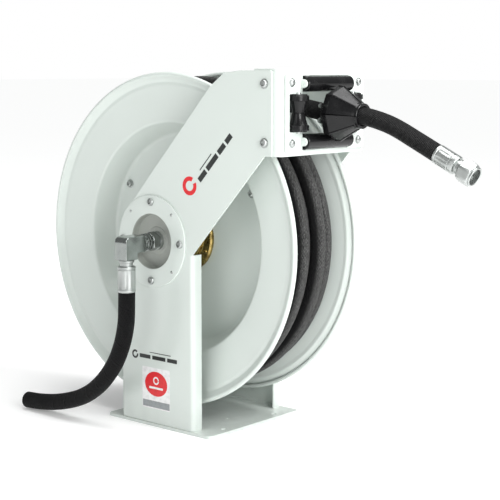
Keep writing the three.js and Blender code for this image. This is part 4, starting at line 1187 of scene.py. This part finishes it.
for name, z in (("top_roller", TOP_Z), ("bottom_roller", BOTTOM_Z)):
    settle(lying_roller(name, z), name, NYLON, name)
    settle(lying_pin(f"{name}_pin", z), "stand", PALE, f"{name}_pin")

for name, side in SIDES:
    centre = middle(f"{name}_roller")
    bobbin = turned(f"{name}_roller_waisted", WAIST + mirrored(WAIST), stance(centre, Z), 72)
    settle(bobbin, f"{name}_roller", NYLON, f"{name}_roller")
    pin_low, pin_high = span(f"{name}_roller_pin")
    half = (pin_high.z - pin_low.z) / 2
    pin = turned(f"{name}_roller_pin_turned", pin_outline(4, -half, half, 1.0), stance(centre, Z), 32)
    settle(pin, "stand", ZINC, f"{name}_roller_pin")

# %% Roller plate screws
PAN_HEAD = [(0, -0.3), (6.6, -0.3), (6.6, 0.5), (6.1, 0.8), (5.4, 0.8), (5.3, 1.6), (4.8, 2.9), (3.6, 3.8),
            (1.8, 4.2), (0, 4.3)]
for number in range(1, 5):
    centre = middle(f"guide_screw_{number}")
    at = stance((PLATE_FACE + 0.05, centre.y, centre.z), X)
    settle(turned(f"guide_screw_{number}_head", PAN_HEAD, at, 48), "stand", ZINC, f"guide_screw_{number}")

# %% [markdown]
# The stopper is clamped on the hose so that it can't be drawn back through the rollers. It is two
# moulded half shells, each four flat sides of an octagon that taper to a round neck, with ribs along
# the corners and two clamp screws that draw the halves together.

# %% Stopper
STOPPER_AXIS = Vector((1, 0, -0.075)).normalized()
STOPPER_FROM = Vector((277, 0, 516.0))
STOPPER_AT = stance(STOPPER_FROM, STOPPER_AXIS, Y)
STOPPER_BORE = 15.35
STOPPER_PROFILE = [(0.6, 22.5), (2.0, 24.2), (6.5, 32), (9.0, 39.0), (11.0, 41.0), (13.0, 41.3), (21.0, 41.3),
                   (23.5, 40.2), (53, 21.2), (56, 19.6), (60.6, 18.4), (61.8, 17.4)]
RIB_PROFILE = ((9.5, 38.6), (12, 41.2), (22, 41.2), (52, 21.8), (55.5, 19.9))
RIB_HALF, RIB_PROUD = 1.5, 1.1
NECK = [(17.2, 57.4), (18.9, 57.4), (19.3, 58.0), (19.3, 61.4), (18.7, 62.0), (17.2, 62.0)]
SPLIT_HALF = 0.35
HALF_SIDES = 48


def octagon_or_round(angle, roundness):
    """How far out an octagon with its corners at multiples of 45 degrees reaches, eased to a circle."""
    step = math.pi / 4
    flat = math.cos(step / 2) / math.cos(angle % step - step / 2)
    return flat + (1 - flat) * roundness


def stopper_half(side):
    """One half shell: its outer line and, back the other way, its bore, at each place along it."""
    bm = bmesh.new()
    tilt = math.asin(SPLIT_HALF / STOPPER_BORE)
    rings = []
    for along, reach in STOPPER_PROFILE:
        roundness = 1 - ease(along, 0, 8) * (1 - ease(along, 50, 57))
        outer, inner = [], []
        for s in range(HALF_SIDES + 1):
            angle = tilt + (math.pi - 2 * tilt) * s / HALF_SIDES
            radius = reach * octagon_or_round(angle, roundness)
            for line, r in ((outer, radius), (inner, STOPPER_BORE)):
                line.append((r * math.cos(angle), max(r * math.sin(angle), SPLIT_HALF)))
        rings.append([STOPPER_AT @ Vector((x, side * y, along)) for x, y in outer + inner[::-1]])
    join_rings(bm, rings)
    return close("half", bm, 14)


def corner_rib(angle):
    """A low rib along one corner of the octagon, from its widest place down to the neck."""
    turn = math.radians(angle)
    out = Vector((math.cos(turn), math.sin(turn)))
    across = Vector((-out.y, out.x))
    bm = bmesh.new()
    rings = []
    for along, reach in RIB_PROFILE:
        foot, top = reach - 1.5, reach + RIB_PROUD
        corners = [(-RIB_HALF, foot), (-RIB_HALF * 0.6, top), (RIB_HALF * 0.6, top), (RIB_HALF, foot)]
        rings.append([STOPPER_AT @ Vector((*(across * a + out * r), along)) for a, r in corners])
    join_rings(bm, rings)
    return close("rib", bm, 30)


def neck_ring(side):
    bm = bmesh.new()
    rings = []
    for s in range(33):
        angle = math.radians(2 + 176 * s / 32) * side
        rings.append([STOPPER_AT @ Vector((r * math.cos(angle), r * math.sin(angle), h)) for r, h in NECK])
    join_rings(bm, rings)
    return close("neck", bm, 30)


up = 1 if (STOPPER_AT.to_3x3() @ Vector((0, 1, 0))).z > 0 else -1
for name, half in (("upper", up), ("lower", -up)):
    ribs = [corner_rib(half * a) for a in (45, 90, 135)]
    shell = merged(f"stopper_{name}_moulded", [stopper_half(half), *ribs, neck_ring(half)])
    settle(shell, "stand", NYLON, f"stopper_{name}")
CLAMP_ACROSS, CLAMP_RISE, CLAMP_DEEP = 31.5, 11, 7.2
stopper_screws = []
for across in (-CLAMP_ACROSS, CLAMP_ACROSS):
    for rise in (-CLAMP_RISE, CLAMP_RISE):
        at = STOPPER_AT @ Matrix.Translation((across, rise, CLAMP_DEEP)) @ Matrix.Rotation(math.pi, 4, "X")
        stopper_screws.append(button_head("screw", at, 4.0, 6.0))
screws = settle(merged("stopper_screws", stopper_screws), "stand", ZINC)

# %% [markdown]
# The hose ends in a crimped ferrule and a hexagon nut that turns on it. The nut is open, with a bore
# that shows its depth, and a dark gap where the ferrule's neck goes into it.

# %% Outlet ferrule and nut
outlet_end = outlet_line[-1]
outlet_way = Vector((0.8970388, 0, -0.4419521))
OUTLET_AT = stance(outlet_end, outlet_way, Y)


FERRULE_BODY = 14.4
NUT_ACROSS = 31.6
FERRULE_STEPS = [
    (5, 0.7), (13.6, 0.7), (FERRULE_BODY, 1.6), (FERRULE_BODY, 4.2), (13.9, 4.8), (13.9, 5.4),
    (FERRULE_BODY, 6.0), (pressed(FERRULE_BODY, 0.5), 8), (pressed(FERRULE_BODY, 0.8), 13),
    (pressed(FERRULE_BODY, 0.8), 21), (pressed(FERRULE_BODY, 0.4), 26), (FERRULE_BODY, 27.6), (13.6, 28.2),
    (13.6, 29.4), (FERRULE_BODY, 30), (FERRULE_BODY, 35.6), (13.2, 37.6), (9.6, 37.9), (9.4, 40.4),
    (11.4, 41.0), (11.4, 44.4), (9.4, 45.0), (9.4, 58.5), (5, 58.5),
]
nut_flats = flats(6, NUT_ACROSS)
NUT_STEPS = [
    (12.1, 47.3), (13.0, 47.1), (within(nut_flats, 15.4), 47.1), (within(nut_flats, 16.8), 48.0),
    (nut_flats, 49.2), (nut_flats, 65.2), (within(nut_flats, 16.9), 66.6), (within(nut_flats, 15.6), 67.3),
    (14.6, 67.8), (14.6, 70.3), (14.0, 70.9), (12.8, 70.9), (12.1, 70.2), (12.1, 60.0),
]
ferrule = turned("outlet_ferrule_crimped", FERRULE_STEPS, OUTLET_AT, 96)
settle(ferrule, "stand", ZINC, "outlet_ferrule")
nut = settle(turned("outlet_nut_hexagon", NUT_STEPS, OUTLET_AT, 72), "outlet_nut", ZINC, "outlet_nut")

# %% The two cords
outlet_path = [[c * MM for c in p] for p in outlet_line]
inlet_path = [[c * MM for c in p] for p in inlet_line]
length_of(outlet_line)
length_of(inlet_line)
print(f"cords {length_of(outlet_line):.3f} m and {length_of(inlet_line):.3f} m")

# %% [markdown]
# The far side carries the rewind: a drum-shaped case for the flat spring, bolted behind the disc, a
# ratchet wheel, and a pawl on a pin under a small torsion spring.

# %% Spring case, ratchet and pawl
FAR_SIDE = stance((0, 0, AXIS), Y, X)
case_low, case_high = span("spring_case")
case_radius = (case_high.x - case_low.x) / 2
WHEEL_BORE = 19
case_face = [(WHEEL_BORE, case_low.y), (case_radius, case_low.y), (case_radius, case_high.y)]
case_outline = thicken(soften(case_face, [0, 2.5, 0], 5, closed=False), 2)
settle(turned("spring_case_pressed", case_outline, FAR_SIDE, 120), "drum", PALE, "spring_case")
cover_low, cover_high = span("spring_cover")
panel = cover_high.y - 0.7
cover = [(WHEEL_BORE, cover_low.y), (case_radius, cover_low.y), (case_radius, cover_high.y),
         (case_radius - 16, cover_high.y), (case_radius - 20, panel), (70, panel), (66, cover_high.y),
         (WHEEL_BORE, cover_high.y)]
settle(turned("spring_cover_pressed", soften(cover, 0.6, 2), FAR_SIDE, 120), "drum", PALE, "spring_cover")

# %% Ratchet wheel
wheel_low, wheel_high = span("ratchet_wheel")
TEETH = 12
TOOTH_ROOT, TOOTH_DEPTH, TOOTH_STEEP = 52, 8, 0.13


def tooth_reach(angle):
    """A saw tooth: steep at its front, then a long shallow back."""
    place = (-angle / math.tau * TEETH) % 1
    front = 1 - place / TOOTH_STEEP
    back = (place - TOOTH_STEEP) / (1 - TOOTH_STEEP)
    return TOOTH_ROOT + TOOTH_DEPTH * (front if place < TOOTH_STEEP else back)


wheel = oblong(WHEEL_BORE, tooth_reach, wheel_low.y, wheel_high.y)
settle(turned("ratchet_wheel_cut", wheel, FAR_SIDE, 360), "drum", ZINC, "ratchet_wheel")

# %% Pawl pin and its spring
PAWL_PIVOT = Vector((-50, 0, AXIS - 78))
COIL_RADIUS, COIL_TURNS, COIL_PITCH, COIL_STEPS = 6.2, 3, 2.6, 24
pin_low, pin_high = span("pawl_pin")
pin = turned("pawl_pin_turned", pin_outline(4, pin_low.y, pin_high.y, 0.6, 2), stance(PAWL_PIVOT, Y), 32)
settle(pin, "stand", ZINC, "pawl_pin")
coil = []
for step in range(COIL_TURNS * COIL_STEPS + 1):
    angle = math.tau * step / COIL_STEPS
    across = Vector((COIL_RADIUS * math.cos(angle), 0, COIL_RADIUS * math.sin(angle)))
    coil.append(PAWL_PIVOT + across + Y * (wheel_high.y + 2 + COIL_PITCH * step / COIL_STEPS))
settle(tube("pawl_torsion_spring", coil, 0.85, 12), "stand", SPRING, "pawl_spring")

# %% Parts kept as the frame has them
KEPT = {ZINC: ("pawl", "hub_barrel", "near_bearing", "far_bearing", "drum_outlet_pipe"),
        FRESH_RUBBER: ("swivel_seal",), SPRING: ("power_spring",)}
for finish, nodes in KEPT.items():
    for node in nodes:
        for slot in bpy.data.objects[node].material_slots:
            slot.material = finish.material
    print(f"{finish.material.name}: {', '.join(nodes)}")

# %% [markdown]
# The marks are thin films on the near arm and post, with plain shapes and no lettering: an open red
# ring and dark bars up the arm, a dark ring and bars across the post, and a white label with a red
# disc and a grey strip. A ring is built as a band of faces between its outer and its inner line.

# %% Marks
FILM = 0.12
MARK_OUT = ARM_OUTER + FILM


def film(name, outlines, finish, lift=0.0):
    """Flat shapes laid on the near arm's face: an outline of x and z, or an outer and an inner line."""
    bm = bmesh.new()
    for outline in outlines:
        lines = outline if isinstance(outline[0], list) else [outline]
        rows = [[bm.verts.new((x, -MARK_OUT - lift, z)) for x, z in line] for line in lines]
        if len(rows) == 1:
            bm.faces.new(rows[0])
        else:
            for i in range(len(rows[0]) - 1):
                bm.faces.new((rows[0][i], rows[0][i + 1], rows[1][i + 1], rows[1][i]))
    piece = close(name, bm)
    bm = bmesh.new()
    bm.from_mesh(piece.data)
    for face in bm.faces:
        if face.normal.y > 0:
            face.normal_flip()
    bm.to_mesh(piece.data)
    bm.free()
    return settle(piece, "stand", finish)


def ring_outline(cx, cz, outer, inner, start=0, sweep=352):
    return [arc(cx, cz, radius, start, start + sweep, 40) for radius in (outer, inner)]


def bar_on_arm(offset, width, start, end):
    sides = (offset - width / 2, offset + width / 2)
    return [arm_point(sides[0], start), arm_point(sides[0], end), arm_point(sides[1], end),
            arm_point(sides[1], start)]


BARS, THIN_BAR = ((147, 168), (172, 203), (207, 226), (230, 246)), (160, 196)
mark_x, mark_z = arm_point(2.3, 126)
film("arm_red_mark", [ring_outline(mark_x, mark_z, 15, 8, 60, 325)], RED_INK)
arm_bars = [bar_on_arm(-6.5, 9, *ends) for ends in BARS]
film("arm_dark_bars", [*arm_bars, bar_on_arm(3.4, 1.8, *THIN_BAR)], DARK_INK)
post_ring = ring_outline(-41.5, 114.5, 7.2, 3.8, 40, 330)
post_bars = [oblong(x0, x1, 110.5, 117) for x0, x1 in ((-31, -6), (-2, 28), (32, 54))]
film("post_dark_mark", [post_ring, *post_bars, oblong(-8, 40, 121, 122.2)], DARK_INK)

# %% Label
label_ring = ring_outline(6.5, 76, 6.5, 4.2)
label_disc = [(6.5 + 25.5 * x, 70.5 + 20.5 * z) for x, z in arc(0, 0, 1, 0, 352.5, 47)]
film("label_white", [soften(oblong(-25, 38, 29, 97), 2, 3)], WHITE_FILM)
film("label_red_disc", [label_disc], RED_INK, 0.06)
film("label_ring", [label_ring, oblong(-9, 22, 62, 65.5)], WHITE_FILM, 0.12)
film("label_grey_strip", [oblong(-24, 37, 31, 42)], GREY_INK, 0.06)

# %% [markdown]
# The floor is pale and gives off a little light that grows away from the stand, so it fades into
# the white behind it. Four soft lights do the rest: a strong one over the front for the guide's bright
# faces, a weak one on the inlet side, a low one for the foot of the stand, and a wide one above. The
# world is white where it is seen but lights the reel only faintly.

# %% Floor
floor_mesh = bmesh.new()
bmesh.ops.create_grid(floor_mesh, x_segments=1, y_segments=1, size=60)
floor_data = bpy.data.meshes.new("floor")
floor_mesh.to_mesh(floor_data)
floor_mesh.free()
floor = linked("floor", floor_data)
glow = {"Base Color": (0.9, 0.9, 0.9, 1), "Roughness": 0.9, "Emission Strength": 0.7}
ground = Finish("pale floor", "white_paint", glow)
length = ground.node("ShaderNodeVectorMath", {"operation": "LENGTH"}, {0: ground.place()}, "Value")
away = length.above(0.6, 2.6)
ground.feed(Emission_Color=ground.mix(away, (0.3, 0.3, 0.3, 1), (1, 1, 1, 1)))
floor_data.materials.append(ground.material)
print("floor laid")

# %% World and lights
world = bpy.data.worlds.new("soft white world")
world.use_nodes = True
sky = world.node_tree.nodes
seen = sky["Background"]
seen.inputs["Color"].default_value = (1, 1, 1, 1)
lighting = sky.new("ShaderNodeBackground")
lighting.inputs["Color"].default_value = (0.98, 1, 0.99, 1)
lighting.inputs["Strength"].default_value = 0.30
choice = sky.new("ShaderNodeMixShader")
world.node_tree.links.new(sky.new("ShaderNodeLightPath").outputs["Is Camera Ray"], choice.inputs[0])
world.node_tree.links.new(lighting.outputs[0], choice.inputs[1])
world.node_tree.links.new(seen.outputs[0], choice.inputs[2])
world.node_tree.links.new(choice.outputs[0], sky["World Output"].inputs["Surface"])
bpy.context.scene.world = world
bpy.context.scene.view_settings.view_transform = "Standard"


def area_light(name, at, to, size, power):
    """A round soft light that is aimed at a place."""
    light = bpy.data.lights.new(name, "AREA")
    light.shape = "DISK"
    light.size = size
    light.energy = power
    lamp = bpy.data.objects.new(name, light)
    lamp.location = at
    lamp.rotation_euler = (Vector(to) - Vector(at)).to_track_quat("-Z", "Y").to_euler()
    bpy.context.scene.collection.objects.link(lamp)


area_light("front_light", (1.9, 0.3, 2.1), (0, 0, 0.3), 1.1, 50)
area_light("inlet_side_light", (0.5, -2.5, 1.2), (0, 0, 0.3), 1.3, 6.5)
area_light("low_front_light", (1.7, -0.7, 0.8), (0.1, 0, 0.1), 0.8, 17)
area_light("top_light", (0.2, 0.2, 2.6), (0, 0, 0.3), 1.8, 42)
